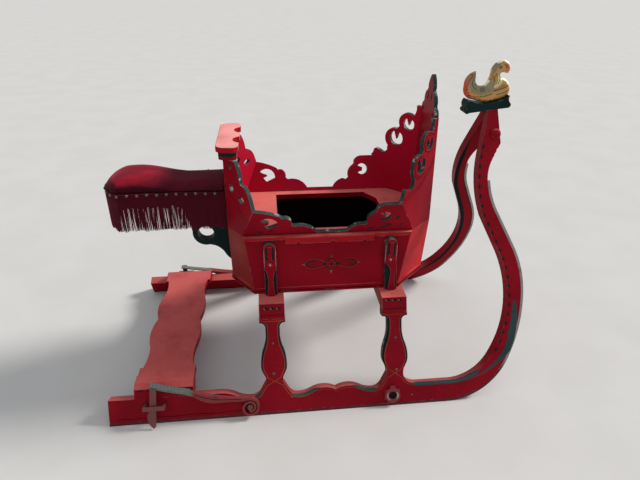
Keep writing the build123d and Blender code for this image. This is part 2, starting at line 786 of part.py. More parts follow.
# Scroll bracket: a pierced ring with a swept knee below it and a cove up to the saddle board
ring_x, ring_z = bracket_centre
with BuildPart() as bracket:
    with BuildSketch(Plane.XZ.offset(-bracket_thickness / 2)):
        with BuildLine():
            back_line = Line((body_rear, bracket_foot), (body_rear, saddle_board_bottom))
            under_line = Line(back_line @ 1, (body_rear - bracket_reach, saddle_board_bottom))
            cove = ThreePointArc(under_line @ 1, (ring_x - 86, ring_z + 118), (ring_x - bracket_ring, ring_z + 12))
            Line(cove @ 1, (ring_x, ring_z))
            Line((ring_x, ring_z), (ring_x + 8, ring_z - bracket_ring + 1))
            knee = ThreePointArc((ring_x + 8, ring_z - bracket_ring + 1), (ring_x + 48, ring_z - 68), (ring_x + 70, ring_z - 95))
            ThreePointArc(knee @ 1, (ring_x + 84, ring_z - 117), (body_rear, bracket_foot))
        make_face()
        with Locations(bracket_centre):
            Circle(bracket_ring)
            Circle(bracket_hole, mode=Mode.SUBTRACT)
    extrude(amount=bracket_thickness)
save(bracket.part, "scroll_bracket")

# Footboard with shaped edges and end blocks seated on the runners
runner_edge = lean_plane().from_local_coords(Vector(0, runner_rear_height, 0))
runner_inner = lean_plane().from_local_coords(Vector(0, runner_rear_height, -plank))
end_arris = lean_plane().from_local_coords(Vector(0, footboard_end_height, 0))
with BuildPart() as footboard:
    with BuildSketch(Plane.XY.offset(footboard_top)):
        with BuildLine():
            step_rear = footboard_rear + footboard_step_depth
            step_front = footboard_front - footboard_step_depth
            ThreePointArc((footboard_rear + 15, 0), (footboard_rear, 80), (footboard_rear + 16, 190))
            ThreePointArc((footboard_rear + 16, 190), (footboard_rear + 19, 240), (step_rear, footboard_step))
            Polyline((step_rear, footboard_step), (footboard_rear, footboard_step), (footboard_rear, footboard_half))
            Line((footboard_rear, footboard_half), (footboard_front, footboard_half))
            Polyline((footboard_front, footboard_half), (footboard_front, footboard_step), (step_front, footboard_step))
            ThreePointArc((step_front, footboard_step), (footboard_front - 17, 250), (footboard_front - 14, 190))
            ThreePointArc((footboard_front - 14, 190), (footboard_front - 4, 80), (footboard_front - 16, 0))
            mirror(about=Plane.XZ)
        make_face()
    extrude(amount=-footboard_thickness)
    with BuildSketch(Plane(origin=(footboard_block_rear, 0, 0), x_dir=(0, 1, 0), z_dir=(1, 0, 0))):
        with BuildLine():
            Polyline(
                (footboard_block_inner, footboard_top),
                (footboard_half, footboard_top),
                (-end_arris.Y, end_arris.Z),
                (-runner_edge.Y, runner_edge.Z - 1),
                (-runner_inner.Y, runner_inner.Z - 1),
                (-runner_inner.Y - 18, runner_inner.Z),
                (footboard_block_inner, footboard_top - footboard_thickness),
                close=True,
            )
        make_face()
        mirror(about=Plane.YZ)
    extrude(amount=footboard_block_front - footboard_block_rear)
    for hand in (-1, 1):
        end_plane = Plane(origin=(0, hand * half_track, 0), x_dir=(1, 0, 0), z_dir=(0, hand * cos(lean), sin(lean)))
        split(bisect_by=end_plane, keep=Keep.BOTTOM)
    add(runner_right.part, mode=Mode.SUBTRACT)
    add(other_side(runner_right.part), mode=Mode.SUBTRACT)
save(footboard.part, "footboard")

# Foot brake: a sprung arm of two leaves coiled round its pivot, with a ribbed pedal that curves up at its end
pivot_x, pivot_v = brake_pivot
with BuildPart() as brake_arm:
    with BuildSketch(lean_plane(0, brake_gap)):
        with BuildLine():
            coil_top = pivot_v + coil_outer + brake_band / 2
            arm_top = ThreePointArc((pivot_x, coil_top), (-412, 99), (-506, 124))
            Line(arm_top @ 1, (-524, 127))
            Line((-524, 127), (-524, 112))
            Line((-524, 112), (-500, 106))
            ThreePointArc((-500, 106), (-455, 80), (-402, 74))
            ThreePointArc((-402, 74), (-350, 74), (pivot_x - 22, pivot_v + 25))
            Line((pivot_x - 22, pivot_v + 25), (pivot_x, coil_top - brake_band))
            Line((pivot_x, coil_top - brake_band), (pivot_x, coil_top))
        make_face()
        with BuildLine():
            outer_turn = ThreePointArc(
                (pivot_x, pivot_v + coil_outer), (pivot_x + coil_outer, pivot_v), (pivot_x, pivot_v - coil_outer)
            )
            middle_height = pivot_v + (coil_inner - coil_outer) / 2
            rear_turn = ThreePointArc(
                outer_turn @ 1, (pivot_x - (coil_inner + coil_outer) / 2, middle_height), (pivot_x, pivot_v + coil_inner)
            )
            ThreePointArc(rear_turn @ 1, (pivot_x + coil_inner, pivot_v), (pivot_x, pivot_v - coil_inner))
        trace(line_width=brake_band)
        with Locations((pivot_x, pivot_v - (coil_inner + brake_eye - 2) / 2)):
            Rectangle(brake_band, coil_inner - brake_eye + 4)
        with Locations(brake_pivot):
            RegularPolygon(brake_eye, 6)
            Circle(brake_pin_radius + pivot_clearance, mode=Mode.SUBTRACT)
    extrude(amount=brake_thickness)
    with BuildSketch(Plane.XZ):
        with BuildLine():
            tread = ThreePointArc(pedal_front, pedal_middle, pedal_rear)
            offset(amount=pedal_thickness, side=Side.LEFT)
        make_face()
        for step in range(8):
            with Locations(tread @ (0.3 + step * 0.09)):
                Rectangle(pedal_rib * 0.8, pedal_rib * 0.8, rotation=45, mode=Mode.SUBTRACT)
    extrude(amount=half_track + plank)
    split(bisect_by=lean_plane(0, brake_gap), keep=Keep.TOP)
    split(bisect_by=lean_plane(0, brake_gap + pedal_width), keep=Keep.BOTTOM)
save_pair(brake_arm.part, "brake_arm")

with BuildPart() as brake_claw:
    with BuildSketch(lean_plane(0, brake_gap + pedal_width)):
        with BuildLine():
            claw_rear = claw_front - claw_width
            claw_low = claw_front - claw_slant
            neck_rear = claw_rear - claw_slant * 0.7
            Polyline((neck_rear, claw_shoulder + 12), (claw_rear, claw_top), (claw_front, claw_top), (claw_low, 2))
            Line((claw_low, 2), (claw_low - 7, claw_tip))
            ThreePointArc((claw_low - 7, claw_tip), (neck_rear - claw_blade + 2, 18), (neck_rear - claw_blade, claw_shoulder))
            Line((neck_rear - claw_blade, claw_shoulder), (neck_rear, claw_shoulder + 12))
        make_face()
    extrude(amount=claw_thickness)
save_pair(brake_claw.part, "brake_claw")

with BuildPart() as brake_pin:
    with BuildSketch(lean_plane()):
        with Locations(brake_pivot):
            Circle(brake_pin_radius)
    extrude(amount=brake_gap + brake_thickness + 1)
    with BuildSketch(lean_plane(0, brake_gap + brake_thickness + 1)):
        with Locations(brake_pivot):
            RegularPolygon(11, 6)
    extrude(amount=5)
save_pair(brake_pin.part, "brake_pin")

# Draught eye: an iron ring on a plate with a staple over its top, on the runner's outer face
with BuildPart() as draught_eye:
    with BuildSketch(lean_plane(eye_station)):
        with Locations((0, eye_height)):
            Rectangle(2 * eye_ring, 1.3 * eye_ring)
    extrude(amount=eye_plate)
    with BuildSketch(lean_plane(eye_station, eye_plate)):
        with Locations((0, eye_height)):
            RegularPolygon(eye_ring, 16)
            Circle(eye_bore, mode=Mode.SUBTRACT)
        with Locations((0, eye_height + eye_ring)):
            Rectangle(20, 14)
    extrude(amount=eye_depth)
save_pair(draught_eye.part, "draught_eye")

# Keeper strap that the brake's claw passes behind
with BuildPart() as keeper:
    with BuildSketch(lean_plane()):
        for end in (keeper_rear + keeper_leg / 2, keeper_rear + keeper_length - keeper_leg / 2):
            with Locations((end, keeper_height)):
                Rectangle(keeper_leg, keeper_width)
    extrude(amount=keeper_reach)
    with BuildSketch(lean_plane(0, keeper_reach)):
        with Locations((keeper_rear + keeper_length / 2, keeper_height)):
            Rectangle(keeper_length, keeper_width)
    extrude(amount=keeper_strap)
save_pair(keeper.part, "brake_keeper")

# Peg through the head, with a domed knob on each outer face
with BuildPart() as head_peg:
    with BuildSketch(Plane.XZ):
        with Locations((peg_station, peg_level)):
            RegularPolygon(peg_radius, 8)
    extrude(amount=half_track)
    split(bisect_by=lean_plane(), keep=Keep.BOTTOM)
    knob_side = Vector(0, apex_height - peg_level, 0) * (half_track / apex_height)
    knob_height = (lean_plane().to_local_coords(Vector(0, -knob_side.Y, peg_level))).Y
    with BuildSketch(lean_plane()) as knob_base:
        with Locations((peg_station, knob_height)):
            RegularPolygon(peg_knob, 16)
    extrude(amount=peg_knob_reach)
    mirror(about=Plane.XZ)
save(head_peg.part, "head_peg")

# Plinth on the level top of the two heads, a crescent with a horn behind and a fin in front
head_side = Plane(origin=(head_top_rear, 0, head_level), x_dir=(1, 0, 0), z_dir=(0, -1, 0))
seat_middle = (head_top_front - head_top_rear) / 2
seat_rise = tan(radians(seat_tilt))
with BuildPart() as plinth:
    with BuildSketch(head_side.offset(-plinth_half)):
        with BuildLine():
            rear_foot = (-78, (-78 - seat_middle) * seat_rise)
            front_foot = (70, (70 - seat_middle) * seat_rise)
            Line(rear_foot, front_foot)
            ThreePointArc(front_foot, (83, 14), (78, 27))
            ThreePointArc((78, 27), (72, 39), (74, 52))
            ThreePointArc((74, 52), (54, 39), (28, 32))
            ThreePointArc((28, 32), (-36, 24), (-86, 36))
            ThreePointArc((-86, 36), (-93, 20), (-89, 4))
            ThreePointArc((-89, 4), (-95, -8), rear_foot)
        make_face()
    extrude(amount=2 * plinth_half)
save(plinth.part, "plinth")

# Gilt figure: a rearing creature with an arched neck, a beaked head and a curled tail
with BuildPart() as figure:
    with BuildSketch(head_side.offset(-figure_half)):
        with BuildLine():
            Line((-64, 139), (-62, 104))
            tail_inner = ThreePointArc((-62, 104), (-52, 90), (-24, 89))
            back_curve = ThreePointArc((-24, 89), (-14, 106), (-8, 142))
            neck_curve = ThreePointArc((-8, 142), (9, 169), (35, 179))
            head_curve = ThreePointArc((35, 179), (58, 168), (67, 145))
            Line((67, 145), (60, 130))
            Line((60, 130), (41, 134))
            throat_curve = ThreePointArc((41, 134), (31, 126), (36, 117))
            breast_curve = ThreePointArc((36, 117), (67, 99), (80, 66))
            Line((80, 66), (72, 44))
            Line((72, 44), (0, 20))
            Line((0, 20), (-70, 36))
            belly_curve = ThreePointArc((-70, 36), (-102, 62), (-104, 84))
            tail_outer = ThreePointArc((-104, 84), (-94, 122), (-64, 139))
        make_face()
    extrude(amount=2 * figure_half)
    add(plinth.part, mode=Mode.SUBTRACT)
save(figure.part, "gilt_figure")
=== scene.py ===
import bpy
import cmath
import math
import random
from mathutils import Matrix, Vector, noise


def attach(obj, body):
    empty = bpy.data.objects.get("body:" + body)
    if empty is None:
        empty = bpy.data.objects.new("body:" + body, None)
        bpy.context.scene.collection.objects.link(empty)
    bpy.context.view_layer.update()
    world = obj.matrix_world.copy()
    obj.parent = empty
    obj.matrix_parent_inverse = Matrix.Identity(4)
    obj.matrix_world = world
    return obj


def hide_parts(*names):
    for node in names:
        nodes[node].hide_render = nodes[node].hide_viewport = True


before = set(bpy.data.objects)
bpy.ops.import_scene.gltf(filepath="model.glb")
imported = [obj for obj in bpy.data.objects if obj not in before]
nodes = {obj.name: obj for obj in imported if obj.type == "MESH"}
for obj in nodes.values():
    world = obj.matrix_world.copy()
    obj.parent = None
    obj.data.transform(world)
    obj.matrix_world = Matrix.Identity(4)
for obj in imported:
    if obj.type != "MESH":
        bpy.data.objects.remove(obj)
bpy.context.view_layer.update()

random.seed(7)

# Sizes in millimetres, as on the maker's drawing. The mesh helpers turn them into metres.
LEAN = math.atan(468 / 1136)
HALF_TRACK = 468.0
PLANK = 42.0
HALF_WIDTH = 225.0
WAIST = 664.0
FLOOR = 410.0
POSTS = (-190.0, 291.0)
PINCH = 134.0
EYE, EYE_PLATE = (276, 47), 5.0
STAY_BACK, STAY_FACE = 18, 26
SADDLE_REAR, SADDLE_TURN, SADDLE_FRONT, SADDLE_HALF, SADDLE_TOP = -803, -737, -346, 120, 801
PAD_HUMP, PAD_SEAT, PAD_END = 56, 20, -345
NAIL_PITCH, NAIL_LEVEL = 35.5, 799
FRINGE_TOP, FRINGE_DROP = 790, 138
HEAD_CORNER = Vector((671.0, 1068.85))
LIFT = 0.4


def new_object(name, data):
    made = bpy.data.objects.new(name, data)
    bpy.context.collection.objects.link(made)
    return made


def new_piece(name, points, faces):
    """An object made from points in millimetres."""
    mesh = bpy.data.meshes.new(name)
    mesh.from_pydata([Vector(p) * 0.001 for p in points], [], faces)
    mesh.validate()
    return new_object(name, mesh)


# Camera at the photograph's place
YAW, PITCH, ROLL = math.radians(-6.40), math.radians(28.94), math.radians(0.70)
camera_data = bpy.data.cameras.new("camera")
camera_data.sensor_width, camera_data.lens, camera_data.clip_start = 36.0, 27.42, 0.05
camera = new_object("camera", camera_data)
level = Matrix.Rotation(YAW, 4, "Z") @ Matrix.Rotation(math.pi / 2 - PITCH, 4, "X")
camera.matrix_world = Matrix.Translation((-0.177, -1.825, 1.530)) @ level @ Matrix.Rotation(ROLL, 4, "Z")
bpy.context.scene.camera = camera
bpy.context.scene.view_settings.view_transform = "Standard"


# Shader helpers
class Tree:
    """Short names for the nodes and links of one shader tree."""

    def __init__(self, tree):
        self.tree = tree

    def put(self, socket, value):
        if isinstance(value, bpy.types.NodeSocket):
            self.tree.links.new(value, socket)
        elif value is not None:
            socket.default_value = value

    def feed(self, sockets, **parts):
        for name, value in parts.items():
            self.put(sockets[name.replace("_", " ")], value)

    def node(self, kind, inputs=None, **settings):
        """A new node with its settings and inputs made; what comes back is its outputs."""
        made = self.tree.nodes.new("ShaderNode" + kind)
        for name, value in settings.items():
            setattr(made, name, value)
        for name, value in (inputs or {}).items():
            self.put(made.inputs[name], value)
        return made.outputs

    def math(self, operation, first, second=None, clamp=False):
        return self.node("Math", {0: first, 1: second}, operation=operation, use_clamp=clamp)[0]

    def times(self, first, second, clamp=False):
        return self.math("MULTIPLY", first, second, clamp)

    def plus(self, first, second, clamp=False):
        return self.math("ADD", first, second, clamp)

    def minus(self, first, second):
        return self.math("SUBTRACT", first, second)

    def dot(self, first, second):
        return self.node("VectorMath", {0: first, 1: second}, operation="DOT_PRODUCT")["Value"]

    def stretched(self, vector, factors):
        return self.node("VectorMath", {0: vector, 1: factors}, operation="MULTIPLY")["Vector"]

    def ramp(self, value, low, high, start=0.0, end=1.0):
        parts = {"Value": value, "From Min": low, "From Max": high, "To Min": start, "To Max": end}
        return self.node("MapRange", parts, interpolation_type="SMOOTHSTEP")["Result"]

    def mix(self, factor, first, second):
        return self.node("Mix", {0: factor, 6: first, 7: second}, data_type="RGBA")[2]

    def noise(self, vector, scale, detail=3.0, rough=0.55):
        parts = {"Vector": vector, "Scale": scale, "Detail": detail, "Roughness": rough}
        return self.node("TexNoise", parts)["Fac"]

    def place(self):
        return self.node("TexCoord")["Object"]

    def facing(self):
        return self.node("TexCoord")["Normal"]

    def axes(self, vector):
        return self.node("SeparateXYZ", {0: vector})

    def group(self, group, **inputs):
        return self.node("Group", {name.replace("_", " "): value for name, value in inputs.items()}, node_tree=group)


def new_group(name, inputs, outputs):
    """A shader group with named sockets: its tree, what enters it and what leaves it."""
    group = bpy.data.node_groups.new(name, "ShaderNodeTree")
    kinds = {0: "NodeSocketFloat", 3: "NodeSocketVector", 4: "NodeSocketColor"}
    for label, value in inputs.items():
        kind = kinds[len(value) if isinstance(value, tuple) else 0]
        group.interface.new_socket(name=label, in_out="INPUT", socket_type=kind).default_value = value
    for label in outputs:
        kind = kinds[{"Colour": 4, "Normal": 3}.get(label, 0)]
        group.interface.new_socket(name=label, in_out="OUTPUT", socket_type=kind)
    entry = group.nodes.new("NodeGroupInput").outputs
    leave = group.nodes.new("NodeGroupOutput").inputs
    return group, Tree(group), entry, leave


# Rounded arrises: a softened normal, and a mask of the edges themselves
arris_group, t, entry, leave = new_group("rounded arris", {"Radius": 0.0015}, ("Normal", "Arris"))
softened = t.node("Bevel", {"Radius": entry["Radius"]}, samples=6)["Normal"]
turn = t.minus(1.0, t.dot(softened, t.node("NewGeometry")["Normal"]))
t.feed(leave, Normal=softened, Arris=t.ramp(turn, 0.01, 0.16))

# Chipped paint along the arrises, with a few knocks on the open faces
chip_group, t, entry, leave = new_group("paint chips", {"Arris": 0.0, "Amount": 0.4, "Scale": 60.0}, ("Chips",))
place = t.place()
broad = t.noise(place, t.times(entry["Scale"], 0.25), 2.0)
fine = t.noise(place, entry["Scale"], 4.0, 0.7)
flaked = t.ramp(t.times(broad, t.plus(fine, entry["Amount"])), 0.42, 0.56)
knocks = t.ramp(t.noise(place, t.times(entry["Scale"], 1.7), 5.0, 0.75), 0.735, 0.76)
t.feed(leave, Chips=t.plus(t.times(entry["Arris"], flaked), t.times(knocks, entry["Amount"]), True))

# Aged coat: cloudy colour, brush lines along the board, dust on what faces up, and upward faces paled to salmon,
# partly sun fading and partly a painted reflection of the sky
age_group, t, entry, leave = new_group(
    "aged coat",
    {"Colour": (0.5, 0.02, 0.03, 1), "Deep": (0.3, 0.01, 0.02, 1), "Cloud": 0.5, "Dust": 0.3, "Bleach": 0.0,
     "Bleached": (0.80, 0.17, 0.15, 1), "Stretch": (1.0, 1.0, 1.0), "Gloss": 0.3},
    ("Colour", "Roughness", "Height"),
)
place, upward = t.place(), t.axes(t.facing())["Z"]
cloud = t.ramp(t.noise(place, 5.5, 4.0, 0.6), 0.35, 0.68)
brush = t.noise(t.stretched(place, entry["Stretch"]), 130.0, 3.0, 0.6)
speckle = t.noise(place, 210.0, 5.0, 0.7)
shade = t.mix(t.times(cloud, entry["Cloud"]), entry["Colour"], entry["Deep"])
shade = t.mix(t.times(t.ramp(brush, 0.45, 0.75), t.times(entry["Cloud"], 0.35)), shade, entry["Deep"])
dust = t.times(t.times(t.ramp(upward, 0.2, 0.95), t.ramp(speckle, 0.42, 0.72)), entry["Dust"])
# Upward faces paled to salmon: partly sun fading, partly a painted reflection of the sky on the gloss
faded_sheen_mask = t.times(t.ramp(upward, 0.55, 0.98), t.ramp(t.noise(place, 9.0, 4.0, 0.6), 0.2, 0.62, 0.55, 1.0))
shade = t.mix(t.times(faded_sheen_mask, entry["Bleach"]), shade, entry["Bleached"])
uneven = t.ramp(t.noise(place, 16.0, 4.0, 0.6), 0.3, 0.7, -0.07, 0.10)
t.feed(leave, Colour=t.mix(dust, shade, (0.55, 0.47, 0.42, 1)),
       Roughness=t.plus(t.plus(entry["Gloss"], uneven), t.times(dust, 0.35), True),
       Height=t.plus(t.times(brush, 0.6), t.times(speckle, 0.25)))

# Faces of a board told apart: its thickness, and the side turned inwards
board_group, t, entry, leave = new_group("board faces", {"Outward": (0.0, 0.0, 1.0)}, ("Thickness", "Inner"))
lie = t.dot(t.facing(), entry["Outward"])
t.feed(leave, Thickness=t.ramp(t.math("ABSOLUTE", lie), 0.62, 0.55), Inner=t.ramp(lie, -0.55, -0.62))

# Crushed pile: patches that lie light or dark, a fine nap, and painted light: faces turned up are painted lighter,
# the sides darker
pile_group, t, entry, leave = new_group(
    "crushed pile", {"Light": (0.4, 0.01, 0.03, 1), "Dark": (0.1, 0, 0.01, 1)}, ("Colour", "Height")
)
place = t.place()
patch = t.ramp(t.noise(place, 11.0, 4.0, 0.65), 0.34, 0.66)
nap = t.noise(place, 900.0, 2.0, 0.6)
brushed = t.noise(t.stretched(place, (1.0, 3.0, 1.0)), 55.0, 4.0, 0.7)
pile_and_light_tone = t.plus(t.times(patch, 0.6), t.times(brushed, 0.45), True)
# Painted light: the pile is lighter where it faces up and darker on the sides
pile_and_light_tone = t.times(t.plus(pile_and_light_tone, 0.25), t.ramp(t.axes(t.facing())["Z"], 0.25, 0.95, 0.08, 1.0), True)
colour = t.mix(pile_and_light_tone, entry["Dark"], entry["Light"])
colour = t.mix(t.times(t.ramp(nap, 0.4, 0.7), 0.25), colour, entry["Dark"])
t.feed(leave, Colour=colour, Height=t.plus(t.times(nap, 0.5), brushed))

# Worn metal or leaf: patches of what lies beneath show through
worn_group, t, entry, leave = new_group(
    "worn surface",
    {"Top": (0.6, 0.4, 0.1, 1), "Under": (0.2, 0.02, 0.01, 1), "Amount": 0.4, "Scale": 40.0},
    ("Colour", "Bare", "Height"),
)
place = t.place()
patch = t.noise(place, entry["Scale"], 5.0, 0.7)
pit = t.noise(place, t.times(entry["Scale"], 6.0), 4.0, 0.7)
bare_from = t.minus(0.78, t.times(entry["Amount"], 0.5))
bare = t.ramp(t.plus(t.times(patch, 0.8), t.times(pit, 0.3)), bare_from, 0.80)
t.feed(leave, Colour=t.mix(bare, entry["Top"], entry["Under"]), Bare=bare, Height=t.plus(patch, t.times(pit, 0.6)))


def new_material(name, **values):
    """A material with its tree and its one shader's sockets, some of them set."""
    material = bpy.data.materials.new(name)
    material.use_nodes = True
    t, sockets = Tree(material.node_tree), material.node_tree.nodes["Principled BSDF"].inputs
    t.feed(sockets, **values)
    return material, t, sockets


def painted_over(material):
    """A finished material's tree, its colour socket and the coat that feeds it."""
    colour = material.node_tree.nodes["Principled BSDF"].inputs["Base Color"]
    return Tree(material.node_tree), colour, colour.links[0].from_socket


def finish_normal(t, sockets, height, normal, strength):
    parts = {"Strength": strength, "Distance": 0.001, "Height": height, "Normal": normal}
    t.put(sockets["Normal"], t.node("Bump", parts)["Normal"])


RED = (0.285, 0.0055, 0.015, 1)
DEEP_RED = (0.17, 0.003, 0.010, 1)
BRIGHT_RED = (0.42, 0.014, 0.018, 1)
LIT_RED = (0.52, 0.015, 0.020, 1)
# Brighter red for the boards' inner faces: painted light, standing in for the sun and sky that reach inside the body
LIT_INNER_RED = (0.46, 0.008, 0.032, 1)
FADED_RED = (0.27, 0.036, 0.026, 1)
DARK_GREEN = (0.012, 0.028, 0.028, 1)
SLATE = (0.030, 0.055, 0.053, 1)
PRIMER = (0.42, 0.36, 0.33, 1)
BARE_RIM = (0.42, 0.46, 0.43, 1)
INSIDE = (0.010, 0.004, 0.005, 1)


def painted(name, colour=RED, deep=DEEP_RED, gloss=0.30, cloud=0.55, dust=0.12, chips=0.35, outward=None,
            thickness=None, inner=None, radius=0.0016, chip_colour=PRIMER, faded_sheen=0.6):
    """Old gloss paint on wood. A board's thickness and its inner side may have colours of their own."""
    material, t, sockets = new_material(name, IOR=1.28, Specular_IOR_Level=0.06)
    edge = t.group(arris_group, Radius=radius)
    aged = t.group(age_group, Colour=colour, Deep=deep, Cloud=cloud, Dust=dust, Stretch=(0.12, 1, 1), Gloss=gloss,
                   Bleach=faded_sheen)
    coat = aged["Colour"]
    if outward is not None:
        faces = t.group(board_group, Outward=outward)
        if inner is not None:
            coat = t.mix(faces["Inner"], coat, inner)
        if thickness is not None:
            rim = t.group(age_group, Colour=thickness, Deep=DARK_GREEN, Cloud=0.6, Dust=0.15, Gloss=gloss)
            rubbed = t.ramp(t.noise(t.place(), 24.0, 4.0, 0.65), 0.56, 0.66)
            coat = t.mix(faces["Thickness"], coat, t.mix(t.times(rubbed, 0.8), rim["Colour"], BARE_RIM))
    chipped = t.group(chip_group, Arris=edge["Arris"], Amount=chips, Scale=70.0)["Chips"]
    t.feed(sockets, Base_Color=t.mix(t.times(chipped, 0.75), coat, chip_colour),
           Roughness=t.plus(aged["Roughness"], t.times(chipped, 0.3), True))
    finish_normal(t, sockets, aged["Height"], edge["Normal"], 0.16)
    return material


def worn(name, top, under, amount, scale, metallic, rough, height=0.4, specular=0.5):
    """Metal or leaf, worn down to what lies beneath it."""
    material, t, sockets = new_material(name, Specular_IOR_Level=specular)
    edge = t.group(arris_group, Radius=0.001)
    surface = t.group(worn_group, Top=top, Under=under, Amount=amount, Scale=scale)
    rubbed = tuple(min(1, 1.8 * c) for c in top[:3]) + (1,)
    t.feed(sockets, Base_Color=t.mix(t.times(edge["Arris"], 0.25), surface["Colour"], rubbed),
           Metallic=t.times(t.minus(1.0, surface["Bare"]), metallic),
           Roughness=t.plus(rough, t.times(surface["Bare"], 0.25), True))
    finish_normal(t, sockets, surface["Height"], edge["Normal"], height)
    return material


def soft(name, light, dark, sheen):
    """Velvet or thread: crushed pile with a sheen, painted lighter where it faces up and darker on its sides."""
    material, t, sockets = new_material(
        name, Roughness=0.85, Specular_IOR_Level=0.15, Sheen_Weight=sheen, Sheen_Roughness=0.35,
        Sheen_Tint=(1.0, 0.25, 0.38, 1),
    )
    pile = t.group(pile_group, Light=light, Dark=dark)
    t.feed(sockets, Base_Color=pile["Colour"])
    finish_normal(t, sockets, pile["Height"], None, 0.35)
    return material


red_paint = painted("red_paint")
rail_paint = painted("rail_paint", BRIGHT_RED, RED, 0.28, 0.5, 0.15, 0.6, radius=0.003, faded_sheen=0.8)
green_paint = painted("green_paint", DARK_GREEN, (0.006, 0.014, 0.016, 1), 0.34, 0.5, 0.06, 0.55, radius=0.004,
                      chip_colour=(0.40, 0.38, 0.33, 1), faded_sheen=0.0)
mark_paint, slate_paint, line_paint, pale_wear_and_highlight, shadow_line = (
    painted(*look, faded_sheen=0.0) for look in (
        ("mark_paint", (0.012, 0.022, 0.024, 1), (0.005, 0.009, 0.011, 1), 0.35, 0.5, 0.05, 0.2),
        ("slate_paint", (0.040, 0.075, 0.078, 1), DARK_GREEN, 0.25, 0.5, 0.1, 0.4),
        ("line_paint", (0.36, 0.12, 0.050, 1), (0.25, 0.035, 0.022, 1), 0.4, 1.0, 0.1, 0.1),
        ("pale_wear_and_highlight", (0.55, 0.52, 0.47, 1), (0.30, 0.22, 0.20, 1), 0.5, 0.9, 0.1, 0.5),
        ("shadow_line", (0.04, 0.003, 0.006, 1), (0.015, 0.002, 0.004, 1), 0.6, 0.5, 0.0, 0.0),
    )
)
nail_head = worn("nail_head", (0.115, 0.100, 0.095, 1), (0.060, 0.040, 0.036, 1), 0.4, 90.0, 0.4, 0.34)
claw_iron = worn("claw_iron", (0.17, 0.045, 0.042, 1), (0.08, 0.035, 0.03, 1), 0.5, 50.0, 0.2, 0.5)
iron = worn("iron", (0.11, 0.075, 0.065, 1), (0.16, 0.055, 0.03, 1), 0.55, 60.0, 0.55, 0.45)
thread = soft("fringe_thread", (0.20, 0.005, 0.018, 1), (0.075, 0.002, 0.010, 1), 0.12)
braid = soft("braid", (0.12, 0.004, 0.014, 1), (0.045, 0.001, 0.007, 1), 0.1)

# Velvet: the front of the seat painted dark, a painted shadow of the body that stands over it
velvet = soft("velvet", (0.36, 0.006, 0.024, 1), (0.016, 0.0006, 0.004, 1), 0.16)
t, colour, pile_coat = painted_over(velvet)
place = t.place()
seat = t.axes(place)
reach = t.plus(seat["X"], t.times(t.noise(place, 14.0, 4.0), 0.06))
seat_shadow = t.ramp(t.minus(reach, t.times(seat["Y"], 0.25)), -0.60, -0.52, 0.0, 0.72)
t.put(colour, t.mix(seat_shadow, pile_coat, (0.022, 0.0008, 0.006, 1)))

# Shoes: red paint and rust along the ground, bare worn iron up the necks
shoe_iron = worn("shoe_iron", (0.30, 0.28, 0.26, 1), (0.12, 0.07, 0.045, 1), 0.5, 35.0, 0.8, 0.38)
t, colour, bare_iron = painted_over(shoe_iron)
ground = t.group(worn_group, Top=(0.10, 0.020, 0.020, 1), Under=(0.30, 0.27, 0.24, 1), Amount=0.25, Scale=45.0)
t.put(colour, t.mix(t.ramp(t.axes(t.place())["Z"], 0.10, 0.16), ground["Colour"], bare_iron))

# Iron foot brake: red paint worn to rust on the arm, bare grey-green iron on the tread
brake_paint = worn("brake_paint", (0.24, 0.020, 0.024, 1), (0.10, 0.028, 0.025, 1), 0.6, 45.0, 0.0, 0.42, 0.25, 0.35)
t, colour, arm_coat = painted_over(brake_paint)
tread = t.group(worn_group, Top=(0.13, 0.16, 0.145, 1), Under=(0.07, 0.05, 0.045, 1), Amount=0.5, Scale=50.0)
t.put(colour, t.mix(t.ramp(t.axes(t.place())["X"], -0.515, -0.495), tread["Colour"], arm_coat))

# Crest: red band, dark green cove and a bright red slab above it, its top paled to salmon, partly fading and partly a
# painted reflection of the sky
crest_paint = painted("crest_paint", gloss=0.28, cloud=0.5, dust=0.35, chips=0.5, radius=0.005)
t, colour, coat = painted_over(crest_paint)
height = t.axes(t.place())["Z"]
cove = t.group(age_group, Colour=DARK_GREEN, Deep=(0.008, 0.018, 0.02, 1), Cloud=0.5, Dust=0.2, Gloss=0.3)
slab = t.group(age_group, Colour=BRIGHT_RED, Deep=RED, Cloud=0.5, Dust=0.15, Gloss=0.25, Bleach=1.0,
               Bleached=(0.95, 0.36, 0.34, 1))
for layer, level in ((cove, 0.9475), (slab, 0.9655)):
    coat = t.mix(t.ramp(height, level, level + 0.001), coat, layer["Colour"])
t.put(colour, coat)


# The sleigh's flat faces
def flat_frame(origin, along, outward):
    """A face's own axes at an origin: along it, across it and outward."""
    along, outward = Vector(along).normalized(), Vector(outward).normalized()
    return Matrix.Translation(origin) @ Matrix((along, outward.cross(along), outward)).transposed().to_4x4()


def board_frame(node, origin, along, outward):
    """The axes of a board's outer face. The origin is brought onto the face, which gives the outward way."""
    origin, outward = Vector(origin), Vector(outward).normalized()
    face = max((f for f in nodes[node].data.polygons if f.normal.dot(outward) > 0.8), key=lambda f: f.area)
    origin += outward * ((face.center * 1000 - origin).dot(face.normal) / outward.dot(face.normal))
    return flat_frame(origin, along, face.normal)


